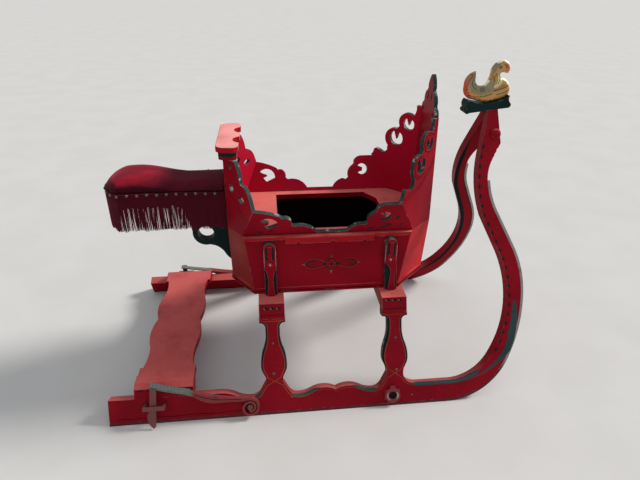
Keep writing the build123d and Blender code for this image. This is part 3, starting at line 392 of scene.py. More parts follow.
FORWARD, RIGHTWARD, LEVEL = (1, 0, 0), (0, -1, 0), Matrix.Identity(4)
side_out = Vector((0, -math.cos(LEAN), math.sin(LEAN)))
foot_line = Vector((0, -HALF_TRACK, 0))
outer_side = flat_frame(foot_line, FORWARD, side_out)
inner_side = flat_frame(foot_line - side_out * PLANK, (-1, 0, 0), -side_out)
brake_side = flat_frame(foot_line + side_out * 25, FORWARD, side_out)
stay_back = flat_frame((0, -HALF_WIDTH - STAY_BACK, 0), FORWARD, RIGHTWARD)
stay_face = flat_frame((0, -HALF_WIDTH - STAY_FACE, 0), FORWARD, RIGHTWARD)
side_panel = board_frame("panel_side_right", (0, -HALF_WIDTH, WAIST), FORWARD, RIGHTWARD)
side_board = board_frame("side_board_right", (0, 8 - HALF_WIDTH, WAIST), FORWARD, (0, -1, -0.4))
front_board = board_frame("front_board", (454, 0, WAIST), (0, 1, 0), FORWARD)
rear_corner = ((-344, -138.44, WAIST), (63.0, -86.56, 0), (-86.56, -63.0, 0))
front_corner = ((354, -HALF_WIDTH, WAIST), (100.0, 97.5, 0), (97.5, -100.0, 0))
rear_oblique = board_frame("rear_oblique_board_right", *rear_corner)
rear_oblique_panel = board_frame("panel_rear_oblique_right", *rear_corner)
front_oblique = board_frame("front_oblique_board_right", *front_corner)
front_oblique_panel = board_frame("panel_front_oblique_right", *front_corner)


def mesh_outlines(node, plane, tolerance=0.25):
    """Closed outlines of a node's flat face in a plane, in millimetres, with the material on the left."""
    back = plane.inverted()
    points = [back @ (v.co * 1000) for v in nodes[node].data.vertices]
    onward = {}
    for face in nodes[node].data.polygons:
        corners = [points[i] for i in face.vertices]
        if all(abs(c.z) < tolerance for c in corners):
            keys = [(round(c.x, 2), round(c.y, 2)) for c in corners]
            for first, second in zip(keys, keys[1:] + keys[:1]):
                if onward.pop((second, first), None) is None:
                    onward[(first, second)] = True
    after = {}
    for first, second in onward:
        after.setdefault(first, []).append(second)
    loops = []
    while after:
        loop, here = [], next(iter(after))
        while here in after:
            loop.append(Vector(here))
            options = after[here]
            following = options.pop()
            if not options:
                after.pop(here)
            here = following
        loops.append(loop)
    return sorted(loops, key=len, reverse=True)


# Paths in the plane of a face
def points_of(*pairs):
    return [Vector(pair) for pair in pairs]


def one_each(value, path):
    """A value for every point of a path, from one number or from a list of them."""
    return value if isinstance(value, list) else [value] * len(path)


def inset(path, distance, closed=False):
    """The path moved to its left by a distance, or by one distance a point."""
    moved = []
    for i, (point, reach) in enumerate(zip(path, one_each(distance, path))):
        steps = []
        if closed or i > 0:
            steps.append(point - path[i - 1])
        if closed or i < len(path) - 1:
            steps.append(path[(i + 1) % len(path)] - point)
        normals = [Vector((-step.y, step.x)).normalized() for step in steps if step.length > 1e-6]
        total = sum(normals, Vector((0, 0)))
        total = total.normalized() if total.length > 1e-6 else normals[0]
        moved.append(point + total * reach / max(0.55, total.dot(normals[0])))
    return moved


def stretch_of(loop, start, end):
    """The shorter part of a closed outline between the points nearest to start and end, in its own order."""
    first, last = (min(range(len(loop)), key=lambda i: (loop[i] - Vector(at)).length) for at in (start, end))
    parts = []
    for a, b in ((first, last), (last, first)):
        part = [loop[i % len(loop)] for i in range(a, (b if b >= a else b + len(loop)) + 1)]
        parts.append((sum((q - p).length for p, q in zip(part, part[1:])), part))
    return min(parts, key=lambda part: part[0])[1]


def resample(path, spacing):
    """Points at an even spacing along a path."""
    made, left = [path[0]], spacing
    for first, second in zip(path, path[1:]):
        length = (second - first).length
        while length > 0 and left <= length:
            made.append(first.lerp(second, left / length))
            left += spacing
        left -= length
    return made


def arc_path(centre, radius_x, radius_y, start, end, steps=20):
    """An arc of a circle or an ellipse, its angles in degrees."""
    angles = [math.radians(start + (end - start) * i / steps) for i in range(steps + 1)]
    return [Vector((centre[0] + radius_x * math.cos(a), centre[1] + radius_y * math.sin(a))) for a in angles]


def arc_through(start, middle, end, steps=16):
    """The circular arc from start to end through a point between them."""
    a, b, c = (complex(*point) for point in (start, middle, end))
    skew = (c - a) / (b - a)
    centre = a + (b - a) * (skew - abs(skew) ** 2) / (2j * skew.imag)
    first = cmath.phase(a - centre)
    last = first + cmath.phase((b - centre) / (a - centre)) + cmath.phase((c - centre) / (b - centre))
    reach = abs(a - centre)
    return arc_path((centre.real, centre.imag), reach, reach, math.degrees(first), math.degrees(last), steps)


def leaf(centre, way, length, width, steps=7):
    """A pointed leaf from a centre outwards."""
    way = Vector(way).normalized()
    over = Vector((-way.y, way.x)) * width / 2
    spine = [Vector(centre) + way * (length * i / steps) for i in range(steps + 1)]
    swell = [over * math.sin(math.pi * i / steps) for i in range(steps + 1)]
    lower = [p - q for p, q in zip(spine, swell)]
    return [p + q for p, q in zip(spine, swell)] + lower[-2:0:-1]


def path_distance(point, path):
    """How far a point lies from an open path."""
    nearest = 1e9
    for a, b in zip(path, path[1:]):
        along = b - a
        share = max(0.0, min(1.0, (point - a).dot(along) / max(1e-9, along.length_squared)))
        nearest = min(nearest, (a + along * share - point).length)
    return nearest


def edge_distance(point, loops):
    """How far a point lies inside closed outlines, less than nought outside them."""
    inside, nearest = False, 1e9
    for loop in loops:
        ring = loop + loop[:1]
        nearest = min(nearest, path_distance(point, ring))
        for a, b in zip(ring, ring[1:]):
            if (a.y > point.y) != (b.y > point.y) and point.x < a.x + (b.x - a.x) * (point.y - a.y) / (b.y - a.y):
                inside = not inside
    return nearest if inside else -nearest


def woven(rows, count, closed=False, turned=False):
    """The four-sided faces between rows of points."""
    faces = []
    for near in range(0, (rows - 1) * count, count):
        for i in range(count if closed else count - 1):
            j, far = (i + 1) % count, near + count
            faces.append([near + i, near + j, far + j, far + i] if turned else [near + i, far + i, far + j, near + j])
    return faces


def ring_around(middle, outward, guide, radius, sides):
    """A ring of points around an axis; the guide settles where it starts."""
    across = outward.cross(Vector(guide)).normalized()
    over = outward.cross(across)
    angles = [2 * math.pi * k / sides for k in range(sides)]
    return [middle + (across * math.cos(a) + over * math.sin(a)) * radius for a in angles]


def on_face(plane, path, lift):
    """Points of a face's own axes brought into space, lifted off the face."""
    return [plane @ Vector((p[0], p[1], lift)) for p in path]


def finish_mesh(mesh, material, smooth=True):
    mesh.polygons.foreach_set("use_smooth", [smooth] * len(mesh.polygons))
    mesh.materials.clear()
    mesh.materials.append(material)


class Marks:
    """Painted lines and other thin pieces that share a material and a body, gathered into one mesh."""

    def __init__(self, name, material, body="root", slot="red_paint", smooth=True):
        self.name, self.material, self.body, self.slot, self.smooth = name, material, body, slot, smooth
        self.verts, self.faces = [], []

    def add(self, points, faces):
        base = len(self.verts)
        self.verts += points
        self.faces += [[base + i for i in face] for face in faces]

    def patch(self, plane, outline, lift=LIFT):
        self.add(on_face(plane, outline, lift), [list(range(len(outline)))])

    def slab(self, plane, outline, height):
        """A raised piece of even height over an outline."""
        count = len(outline)
        points = on_face(plane, outline, 0.0) + on_face(plane, outline, height)
        self.add(points, [list(range(count, 2 * count))] + woven(2, count, True, True))

    def ribbon(self, plane, path, width, lift=LIFT, closed=False):
        left, right = (inset(path, [side * w for w in one_each(width, path)], closed) for side in (0.5, -0.5))
        self.add(on_face(plane, left + right, lift), woven(2, len(path), closed))

    def line_within(self, plane, loops, path, width, margin=3.0):
        """A ribbon, left out where the path comes nearer to the outlines than the margin."""
        run = []
        for point in resample(path, 4.0) + [None]:
            if point is not None and edge_distance(point, loops) > margin:
                run.append(point)
            else:
                if len(run) > 1:
                    self.ribbon(plane, run, width)
                run = []

    def band(self, plane, path, face_width, side_depth):
        """A painted arris: from the face, over the edge and down the thickness of the board."""
        count = len(path)
        taper = [min(1.0, 6.0 * min(i, count - 1 - i) / count + 0.02) for i in range(count)]
        rim, face = inset(path, -LIFT), inset(path, [w * k for w, k in zip(one_each(face_width, path), taper)])
        points = on_face(plane, face + rim, LIFT)
        points += [plane @ Vector((p.x, p.y, -side_depth * k)) for p, k in zip(rim, taper)]
        self.add(points, woven(3, count))

    def tube(self, path, radius, sides=6):
        """A round bead along a path of points in space."""
        count, points = len(path), []
        for i, (point, reach) in enumerate(zip(path, one_each(radius, path))):
            step = (path[min(i + 1, count - 1)] - path[max(i - 1, 0)]).normalized()
            points += ring_around(point, step, (0, 0, 1) if abs(step.z) < 0.9 else (1, 0, 0), reach, sides)
        ends = [list(range(sides)), list(range(count * sides - 1, (count - 1) * sides - 1, -1))]
        self.add(points, woven(count, sides, True) + ends)

    def dome(self, centre, outward, radius, height, rings=4, sides=14):
        """A domed head that sits on a face."""
        outward, points = Vector(outward).normalized(), []
        guide = (1, 0, 0) if abs(outward.x) < 0.9 else (0, 1, 0)
        for ring in range(rings):
            rise = math.pi / 2 * ring / rings
            middle = centre + outward * height * math.sin(rise)
            points += ring_around(middle, outward, guide, radius * math.cos(rise), sides)
        points.append(centre + outward * height)
        last = (rings - 1) * sides
        cap = [[last + k, last + (k + 1) % sides, len(points) - 1] for k in range(sides)]
        self.add(points, woven(rings, sides, True, True) + cap)

    def other_side(self, name, body):
        """The same pieces on the sleigh's other side as a group of their own."""
        other = Marks(name, self.material, body, self.slot, self.smooth)
        other.verts = [Vector((v.x, -v.y, v.z)) for v in self.verts]
        other.faces = [face[::-1] for face in self.faces]
        return other

    def both_sides(self):
        """The pieces built here and on the sleigh's other side."""
        other = self.other_side(self.name, self.body)
        self.add(other.verts, other.faces)
        return self.build()

    def build(self):
        made = new_piece(self.name, self.verts, self.faces)
        finish_mesh(made.data, self.material, self.smooth)
        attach(made, self.body)
        return made


# Paint of the carried-over pieces
def dress(material, *names):
    for name in names:
        nodes[name].data.materials.clear()
        nodes[name].data.materials.append(material)


dress(red_paint, *nodes)
scrolled = {"thickness": SLATE, "inner": LIT_INNER_RED, "chips": 0.5}
panel = {"inner": INSIDE, "chips": 0.3}
for hand, sign in (("_right", -1), ("_left", 1)):
    for name, plane, coat, look in (
        ("side_board", side_board, RED, scrolled), ("front_oblique_board", front_oblique, RED, scrolled),
        ("rear_oblique_board", rear_oblique, RED, scrolled), ("panel_side", side_panel, RED, panel),
        ("panel_front_oblique", front_oblique_panel, LIT_RED, panel),
        ("panel_rear_oblique", rear_oblique_panel, FADED_RED, panel),
    ):
        x, y, z, w = plane.col[2]
        dress(painted(name + hand + "_paint", coat, outward=(x, -sign * y, z), **look), name + hand)
    leaning = (0, sign * math.cos(LEAN), math.sin(LEAN))
    dress(painted("post" + hand + "_paint", outward=leaning, thickness=DARK_GREEN, chips=0.25),
          "post_front" + hand, "post_rear" + hand)
    dress(painted("stay" + hand + "_paint", outward=(0, sign, 0), thickness=(0.055, 0.050, 0.040, 1), chips=0.9),
          "stay_front" + hand, "stay_rear" + hand)
    dress(shoe_iron, "shoe" + hand)
    dress(brake_paint, "brake_arm" + hand, "draught_eye" + hand)
    dress(claw_iron, "brake_claw" + hand, "brake_keeper" + hand)
    dress(iron, "brake_pin" + hand)
    dress(rail_paint, "waist_rail" + hand)
dress(painted("front_board_paint", outward=(1, 0, 0.1), thickness=SLATE, chips=0.5), "front_board")
dress(painted("panel_front_paint", (0.38, 0.010, 0.016, 1), outward=(1, 0, 0), inner=INSIDE), "panel_front")
dress(painted("panel_rear_paint", outward=(-1, 0, 0), inner=INSIDE), "panel_rear")
dress(painted("body_floor_paint", outward=(0, 0, -1), inner=INSIDE), "body_floor")
# Deck and bolsters: their tops are paled the most, partly fading and partly painted sky reflection
dress(painted("deck_paint", faded_sheen=1.15, dust=0.2, chips=0.5), "deck")
dress(painted("bolster_paint", faded_sheen=0.95, chips=0.5), "bolster_front", "bolster_rear")
dress(green_paint, "plinth", "scroll_bracket")
dress(crest_paint, "crest")
dress(velvet, "saddle_board")


# Pin-stripes of the runners and posts, crossing where a post springs from its foot
def pinched(path):
    """The path with its level runs across the pinch of a post drawn together into a crossing."""
    made = []
    for point in path:
        for post in POSTS:
            if abs(point.x - post) < 32 and abs(point.y - PINCH) < 15:
                point = Vector((post, PINCH))
        if not made or (point - made[-1]).length > 0.01:
            made.append(point)
    return made


STRIPE = 2.3
stripes = Marks("runner_stripes", line_paint)
post_chamfers = Marks("post_chamfers", mark_paint)
runner_outline = mesh_outlines("runner_right", outer_side)[0]
stripes.ribbon(outer_side, pinched(inset(stretch_of(runner_outline, (372, 84), (-398, 101)), 7.5)), STRIPE)
for post in ("post_front_right", "post_rear_right"):
    outline = mesh_outlines(post, outer_side)[0]
    ring = inset(outline, 8.0, True)
    stripes.ribbon(outer_side, pinched(ring + ring[:1]), STRIPE)
    for edge in (min(p.x for p in outline), max(p.x for p in outline)):
        post_chamfers.band(outer_side, stretch_of(outline, (edge, 150), (edge, 350)), 5.5, 14.0)

# Dark chamfers and lozenges of the runners, and the bands on the inner faces of the necks
runner_marks = Marks("runner_marks", mark_paint)
runner_slate = Marks("runner_slate", slate_paint)
LOZENGE_PITCH, LOZENGE_HALF_LENGTH, LOZENGE_HALF_WIDTH = 38.5, 12, 6
trailing = inset(stretch_of(runner_outline, (640, 1015), (665, 160)), 6.0)
trailing.insert(0, trailing[0] + (trailing[0] - trailing[1]).normalized() * 66)
lozenges = resample(trailing, LOZENGE_PITCH)
for before, middle, after in zip(lozenges, lozenges[1:], lozenges[2:]):
    way = (after - before).normalized() * LOZENGE_HALF_LENGTH
    over = Vector((-way.y, way.x)).normalized() * LOZENGE_HALF_WIDTH
    runner_marks.patch(outer_side, [middle - way, middle - over, middle + way, middle + over])
tongue = [
    (580, 79), (622, 92), (664, 109), (706, 136), (742, 164), (770, 195), (786, 236), (795, 288), (797, 342),
    (794, 388), (788, 405), (781, 404), (777, 388), (774, 364), (771, 323), (763, 282), (751, 222), (727, 176),
    (698, 146), (656, 112),
]
runner_slate.patch(outer_side, tongue)
runner_slate.band(outer_side, stretch_of(runner_outline, (640, 132), (352, 92)), 9.0, 16.0)
for start, end in (((215, 86), (110, 90)), ((-8, 90), (-118, 86)), ((-238, 86), (-345, 88))):
    runner_slate.band(outer_side, stretch_of(runner_outline, start, end), 6.0, 15.0)
inner_outline = mesh_outlines("runner_right", inner_side)[0]
neck_band = resample(stretch_of(inner_outline, (-671, 1150), (-560, 104)), 6.0)
widening = [min(17.0, 1.0 + 0.13 * (1075 - p.y)) if p.y < 1075 else 0.4 for p in neck_band]
runner_marks.band(inner_side, neck_band, widening, 0.8)
runner_marks.band(inner_side, stretch_of(inner_outline, (-745, 165), (-680, 890)), 4.5, 5.0)
for group in (stripes, post_chamfers, runner_marks, runner_slate):
    group.both_sides()

# Ornament in the middle of the side panels
ornament_dark = Marks("panel_ornament", mark_paint)
ornament_line = Marks("panel_ornament_lines", line_paint)
ornament = side_panel @ Matrix.Translation((48, 532 - WAIST, 0))
for sign in (1, -1):
    loop, widths = [], []
    for i in range(29):
        angle = math.pi * (2 * i / 28 - 1)
        open_by = 1 + math.cos(angle)
        loop.append(Vector((sign * (22 + 38 * open_by), 21 * math.sin(angle) * (0.40 + 0.30 * open_by) + 2)))
        widths.append(1.8 + 4.2 * math.sin(math.pi * min(1.0, max(0.0, (i / 28 - 0.08) / 0.84))) ** 2)
    ornament_dark.ribbon(ornament, loop, widths)
    ornament_line.ribbon(ornament, inset(loop, -4.5 * sign), 1.2)
    for curl in (1, -1):
        curled = arc_path((sign * 78, 2 + curl * 8), 8, 6, 90 - sign * 100, 90 + sign * 110, 12)
        ornament_dark.ribbon(ornament, curled, 2.4, 0.6)
    ornament_dark.patch(ornament, leaf((sign * 12, -1), (sign, 0.05), 26, 7))
    for way, foot in (points_of((sign, 0), (sign * 98, 2)), points_of((0, sign), (0, sign * 26))):
        over = Vector((-way.y, way.x)) * 5.5
        ornament_line.patch(ornament, [foot + over, foot + way * 4, foot - over, foot + way * 20])
for upright in (False, True):
    knot = []
    for i in range(40):
        angle = 2 * math.pi * i / 40
        reach, waist = 25 * math.cos(angle), 13 * math.sin(2 * angle)
        knot.append(Vector((waist, reach) if upright else (reach, waist)))
    ornament_dark.ribbon(ornament, knot, 2.0, 0.7, closed=True)
    ornament_line.ribbon(ornament, [p * 0.68 for p in knot], 1.1, 0.9, closed=True)
ornament_dark.ribbon(ornament, points_of((24, 0), (0, 24), (-24, 0), (0, -24)), 1.6, 0.8, closed=True)

# Stays: a dark back, a dark patch of painted shade standing in for a recess with a raised strip in it, and a pale
# boss and pale edges that are partly wear and partly painted highlight
carving_and_shade = Marks("body_carving_and_shade", mark_paint)
worn_and_lit_spots = Marks("worn_and_lit_spots", pale_wear_and_highlight)
# Dark lines of painted shade along carved grooves, steps and the crack
lines = Marks("carved_lines_painted_shade", shadow_line)
strips = Marks("stay_strips", red_paint, smooth=False)
# Bright stripes of painted highlight along the tops of the carved ridges
ridges_lit = Marks("carved_ridges_painted_highlight", rail_paint)
STAY_HALF, RECESS_HALF, STRIP_HALF = 22, 16, 7.5
for station, shift in ((-188.5, 0.0), (288.5, -13.5)):
    centre = station + shift
    left, right = centre - STAY_HALF, centre + STAY_HALF
    backing = points_of((station - STAY_HALF, 413), (station + STAY_HALF, 413), (right, 560), (right, 622))
    backing += arc_path((centre, 622), STAY_HALF, 21, 0, 180, 12) + points_of((left, 560))
    carving_and_shade.patch(stay_back, backing)
    # The recess is not cut; a dark patch of painted shade stands in for it
    recess = points_of((centre - RECESS_HALF, 575), (centre + RECESS_HALF, 575))
    carving_and_shade.patch(stay_face, recess + arc_path((centre, 618), RECESS_HALF, 17, 0, 180, 12))
    left, right = centre - STRIP_HALF, centre + STRIP_HALF
    strips.slab(stay_face, ((left, 574), (right, 574), (right, 632), (left, 632)), 4.0)
    # The pale boss and the pale edges: partly wear, partly painted highlight
    worn_and_lit_spots.dome(Vector((centre, -HALF_WIDTH - STAY_FACE - 3, 556)), RIGHTWARD, 3.6, 1.6)
    for edge in (-1, 1):
        rubbed = [stay_face @ Vector((centre + edge * 21.6, z, 0)) for z in (548, 575, 600, 618)]
        worn_and_lit_spots.tube(rubbed, 0.7, 5)

# Bolster ends, footboard's end and the crack along the rear of the runner, with a line of painted shade under each
# bolster's step
# Dark half-rounds at the bolster ends, each with a pale crescent that is partly wear and partly painted highlight
for centre_x, level in ((-212, 429), (-187.5, 429), (-163, 429), (265, 437), (290, 437), (315, 437)):
    carving_and_shade.patch(outer_side, arc_path((centre_x, level), 10, 10, 180, 360, 10))
    worn_and_lit_spots.ribbon(outer_side, arc_path((centre_x, level), 8.5, 8.5, 190, 250, 6), 1.6, 0.8)
# A line of painted shade under the step of each bolster
for post in POSTS:
    lines.ribbon(outer_side, points_of((post - 48, 398), (post + 48, 398)), 1.8)
footboard_top = max(p.y for p in mesh_outlines("footboard", outer_side, 0.6)[0])
for k in range(6):
    carving_and_shade.patch(outer_side, arc_path((-700 + 36 * k, footboard_top - 5), 14, 3.6, 0, 360, 16)[:-1])
lines.ribbon(outer_side, points_of(*((-310 - 24 * k, 24 + 1.2 * math.sin(k)) for k in range(21))), 1.8)

# Carved lines and ridges of the front oblique boards, the rear oblique boards and the front board, drawn flat: dark
# lines of painted shade and bright ridges of painted highlight
oblique_loops = mesh_outlines("front_oblique_board_right", front_oblique)
for centre, radius in (((45, 238), 48), ((102, 318), 41)):
    for depth, group, width in ((6, lines, 2.4), (9.5, ridges_lit, 2.0), (13.5, lines, 2.4)):
        volute = arc_path(centre, radius - depth, radius - depth, 35, 325, 60)
        group.line_within(front_oblique, oblique_loops, volute, width)
for shift, group, width in ((0, lines, 2.2), (5, ridges_lit, 2.4), (10, lines, 2.2)):
    sweep = [Vector((x, v + shift)) for x, v in ((-100, 128), (0, 150), (60, 165), (110, 200), (150, 245))]
    group.line_within(front_oblique, oblique_loops, sweep, width)
rear_loops = mesh_outlines("rear_oblique_board_right", rear_oblique)
lines.line_within(rear_oblique, rear_loops, points_of((-20, 175), (50, 128), (150, 50)), 1.6)
front_loops = mesh_outlines("front_board", front_board)
for path in (((-170, 262), (170, 262)), ((-90, 372), (-40, 372), (-30, 360), (30, 360), (40, 372), (90, 372))):
    lines.line_within(front_board, front_loops, points_of(*path), 2.0)
for x, z, way_x, way_z, length in (
    (225, 20, 1, 0.25, 46), (240, 42, 1, -0.2, 40), (180, 16, 1, 0.4, 34), (282, 60, 0.5, 1, 30),
    (300, 24, 0.6, 0.8, 26), (-205, 18, -1, 0.2, 36), (-165, 26, -1, -0.1, 30),
):
    carving_and_shade.patch(side_board, leaf((x, z), (way_x, way_z), length, 9))

# Beads along the foot of the body's panels
beads = Marks("panel_beads", rail_paint)
for plane, ends in ((rear_oblique_panel, (0, 107)), (side_panel, (-271, 338)), (front_oblique_panel, (0, 139.7))):
    foot = Vector((plane.translation.x, plane.translation.y - 20, FLOOR + 22))
    low = (plane.inverted() @ foot).y
    a, b = (plane @ Vector((end, low, 0.5)) for end in ends)
    middle = (a + b) / 2
    beads.tube([middle + (a - middle) * 0.93, middle, middle + (b - middle) * 0.93], 2.4, 8)

# Nails and bolt heads, the knob of the head's peg, and the draught eye: pale crescents, partly wear and partly
# painted highlight, and a dark disc of painted shade over its bore
heads = Marks("iron_heads", iron)
for x, v, radius in (
    (-193, 165, 6), (295, 148, 6), (-191, 287, 4.5), (293, 280, 4.5), (-127, 65, 4), (358, 38, 4), (-668, 60, 3),
):
    heads.dome(outer_side @ Vector((x, v, 0)), side_out, radius, 1.8)
knobs = Marks("peg_knobs", red_paint)
knobs.dome(outer_side @ Vector((695, (HEAD_CORNER.y - 84) / math.cos(LEAN), 9.0)), side_out, 19.5, 6.5, 6, 24)
off_side = outer_side.inverted()
eye_reach = max((off_side @ (v.co * 1000)).z for v in nodes["draught_eye_right"].data.vertices)
# Pale crescents on the eye's face: partly wear, partly painted highlight
eye_wear_and_highlight = Marks("draught_eye_wear_and_highlight", pale_wear_and_highlight, slot="iron")
for start, end in ((140, 245), (-55, 45)):
    swelling = [0.6 + 5.5 * math.sin(math.pi * i / 12) for i in range(13)]
    eye_wear_and_highlight.ribbon(outer_side, arc_path(EYE, 21, 21, start, end, 12), swelling, eye_reach + 0.5)
# A dark disc over the bore: painted shade in the hole
eye_bore_shade = Marks("draught_eye_bore_shade", mark_paint)
eye_bore_shade.patch(outer_side, arc_path(EYE, 15.6, 15.6, 0, 360, 28)[:-1], EYE_PLATE + LIFT)
for group in (ornament_dark, ornament_line, carving_and_shade, worn_and_lit_spots, lines, ridges_lit, strips, beads, heads, knobs,
              eye_wear_and_highlight, eye_bore_shade):
    group.both_sides()

# Line between the two leaves of each brake arm
leaf_line = Marks("brake_leaf_line_right", shadow_line, "brake_right", "iron")
leaf_path = points_of((-496, 112), (-462, 99), (-425, 89), (-390, 85), (-350, 84), (-318, 82))
leaf_line.ribbon(brake_side, leaf_path, 2.0)
leaf_line.other_side("brake_leaf_line_left", "brake_left").build()
leaf_line.build()


# Saddle: a stuffed velvet pad over a board, with a nailed braid and a fringe of hanging threads
def saddle_rear(steps):
    """The saddle's round rear end in plan."""
    return arc_through((SADDLE_TURN, -SADDLE_HALF), (SADDLE_REAR, 0), (SADDLE_TURN, SADDLE_HALF), steps)


def saddle_half_at(x):
    """Half width of the saddle's plan at x."""
    if x < SADDLE_TURN:
        return max((abs(p.y) for p in saddle_rear(60) if abs(p.x - x) < 3.5), default=0.0)
    return SADDLE_HALF - 7 * math.sin(math.pi * (x - SADDLE_TURN) / 393)


def pad_height_at(x):
    """Height of the pad's middle above the board, from the rounded hump behind to the flat seat in front."""
    rise = max(0.0, min(1.0, (x - SADDLE_REAR) / 125))
    fall = max(0.0, min(1.0, (x + 678) / 190))
    hump = (1 - (1 - rise) ** 2.7) ** 0.55
    return hump * (PAD_HUMP - (PAD_HUMP - PAD_SEAT) * fall * fall * (3 - 2 * fall))


def pad_form(shrink, around=24):
    """The pad's shape before it is stuffed, a closed mesh of cross-sections."""
    stations = [SADDLE_REAR + 6 * i for i in range(77)]
    verts = []
    for x in stations:
        half = max(2.0, saddle_half_at(min(PAD_END, max(SADDLE_REAR + 1.5, x))) - 3 - shrink)
        high = max(1.5, pad_height_at(x) - shrink)
        place = max(SADDLE_REAR + shrink, min(PAD_END, x))
        for k in range(around + 1):
            across, up = math.cos(math.pi * k / around), math.sin(math.pi * k / around)
            width = half * math.copysign(abs(across) ** 0.66, across)
            verts.append(Vector((place, -width, SADDLE_TOP + high * up ** 0.52)))
    last = len(verts) - around - 1
    ends = [list(range(around + 1))[::-1], list(range(last, len(verts)))]
    return verts, woven(len(stations), around + 1, True) + ends


def settle(piece, frames=20, cap=0.009, pressure=4.0):
    """Stuff a closed piece by cloth simulation: its foot stays tacked down, and no point moves beyond the cap."""
    start = [v.co.copy() for v in piece.data.vertices]
    tacked = piece.vertex_groups.new(name="tacked")
    tacked.add([i for i, p in enumerate(start) if p.z < 0.8035], 1.0, "REPLACE")
    modifier = piece.modifiers.new("stuffing", "CLOTH")
    for name, value in (
        ("quality", 4), ("mass", 0.25), ("tension_stiffness", 18), ("compression_stiffness", 18),
        ("bending_stiffness", 1.2), ("use_pressure", True), ("uniform_pressure_force", pressure),
        ("vertex_group_mass", "tacked"),
    ):
        setattr(modifier.settings, name, value)
    modifier.settings.effector_weights.gravity = 0
    for step in range(1, frames + 1):
        bpy.context.scene.frame_set(step)
    shaped = piece.evaluated_get(bpy.context.evaluated_depsgraph_get()).to_mesh()
    moved = [v.co.copy() for v in shaped.vertices]
    piece.modifiers.remove(modifier)
    bpy.context.scene.frame_set(1)
    for vertex, old, new in zip(piece.data.vertices, start, moved):
        shift = new - old
        if shift.length > cap:
            shift *= cap / shift.length
        vertex.co = old + shift


def make_real(piece):
    """Let the piece's mesh be what its modifiers make of it."""
    bpy.context.view_layer.update()
    mesh = bpy.data.meshes.new_from_object(piece.evaluated_get(bpy.context.evaluated_depsgraph_get()))
    piece.modifiers.clear()
    piece.data = mesh


def remesh(piece, size):
    evened = piece.modifiers.new("even_grain", "REMESH")
    evened.mode, evened.voxel_size = "VOXEL", size
    make_real(piece)


def trim_pad(foot, front):
    """Keep the pad above the board and behind the body."""
    for vertex in pad.data.vertices:
        vertex.co.z = max(foot, vertex.co.z)
        vertex.co.x = min(front, vertex.co.x)


pad = new_piece("velvet_pad", *pad_form(4.0))
bpy.context.view_layer.objects.active = pad
remesh(pad, 0.0055)
settle(pad)
trim_pad(0.8004, -0.3444)
smoothing = pad.modifiers.new("smooth", "SMOOTH")
smoothing.factor, smoothing.iterations = 0.5, 3
finer = pad.modifiers.new("finer", "SUBSURF")
finer.levels = finer.render_levels = 1
make_real(pad)
trim_pad(0.8003, -0.3443)
finish_mesh(pad.data, velvet)
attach(pad, "root")
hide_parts("saddle_pad")

right_edge = arc_through((SADDLE_FRONT, -SADDLE_HALF), (-540, -113), (SADDLE_TURN, -SADDLE_HALF), 40)
left_edge = [Vector((p.x, -p.y)) for p in reversed(right_edge)]
saddle_edge = right_edge + saddle_rear(40)[1:] + left_edge[1:]


def beside_saddle(offset, spacing=None):
    """The saddle's edge moved outward by an offset, which is to its left, in even steps if a spacing is given."""
    moved = inset(saddle_edge, offset)
    return resample(moved, spacing) if spacing else moved


braid_band = Marks("nailed_braid", braid, slot="fringe")
rows = [(-0.4, 803.5), (2.0, 803.0), (2.6, 795.0), (2.0, 786.0), (-0.4, 785.5)]
points = [point for offset, level in rows for point in on_face(LEVEL, beside_saddle(offset), level)]
braid_band.add(points, woven(len(rows), len(saddle_edge)))
for level in (787.5, 802.0):
    braid_band.tube(on_face(LEVEL, beside_saddle(2.4), level), 1.4)
braid_band.build()

nails = Marks("saddle_nails", nail_head, slot="iron")
for place in beside_saddle(2.4, NAIL_PITCH)[1:]:
    nearest = min(range(len(saddle_edge) - 1), key=lambda i: (saddle_edge[i] - place).length)
    way = saddle_edge[nearest + 1] - saddle_edge[nearest]
    middle = Vector((place.x, place.y, NAIL_LEVEL + random.uniform(-2.0, 1.5)))
    nails.dome(middle, (-way.y, way.x, 0), 6.2, 4.4, 4, 12)
nails.build()

heading = Marks("fringe_heading", braid, slot="fringe")
for offset in (0.5, 1.1):
    curtain = beside_saddle(offset, 3.0)
    hem = []
    for i, p in enumerate(curtain):
        wave = 9 * noise.noise(Vector((i * 0.13, 5.0, 2.0)))
        hem.append(Vector((p.x, p.y, 748 + wave + random.uniform(-5, 5))))
    heading.add(on_face(LEVEL, curtain, 788) + hem, woven(2, len(curtain)))
heading.build()

THREAD_TAPER = [1.5, 1.5, 1.5, 1.45, 1.4, 1.35, 1.3, 1.3, 0.9]
fringe = Marks("thread_fringe", thread, slot="fringe")
for layer, (offset, spacing) in enumerate(((2.0, 3.2), (0.6, 3.9))):
    line = beside_saddle(offset, spacing)
    for i, place in enumerate(line[1:-1], 1):
        way = (line[i + 1] - line[i - 1]).normalized()
        outward = Vector((-way.y, way.x))
        along = i * spacing
        gather = 6 * noise.noise(Vector((along * 0.045, layer * 7.0, 0.0)))
        gather += 3.5 * noise.noise(Vector((along * 0.17, 3.0, layer)))
        flare = (1.2 if place.x < -690 else 0.0) + 1.6 * noise.noise(Vector((along * 0.11, 9.0, layer)))
        drop = FRINGE_DROP + 8 * noise.noise(Vector((along * 0.035, 1.0, 4.0))) + random.uniform(-5, 3)
        swing = random.uniform(-0.9, 0.9)
        path = []
        for k in range(len(THREAD_TAPER)):
            s = k / (len(THREAD_TAPER) - 1)
            sway = gather * s ** 2.1 + swing * math.sin(s * 5.0 + i) * s
            spot = place + way * sway + outward * (flare * s ** 1.4)
            path.append(Vector((spot.x, spot.y, FRINGE_TOP - drop * s)))
        fringe.tube(path, THREAD_TAPER, 5)
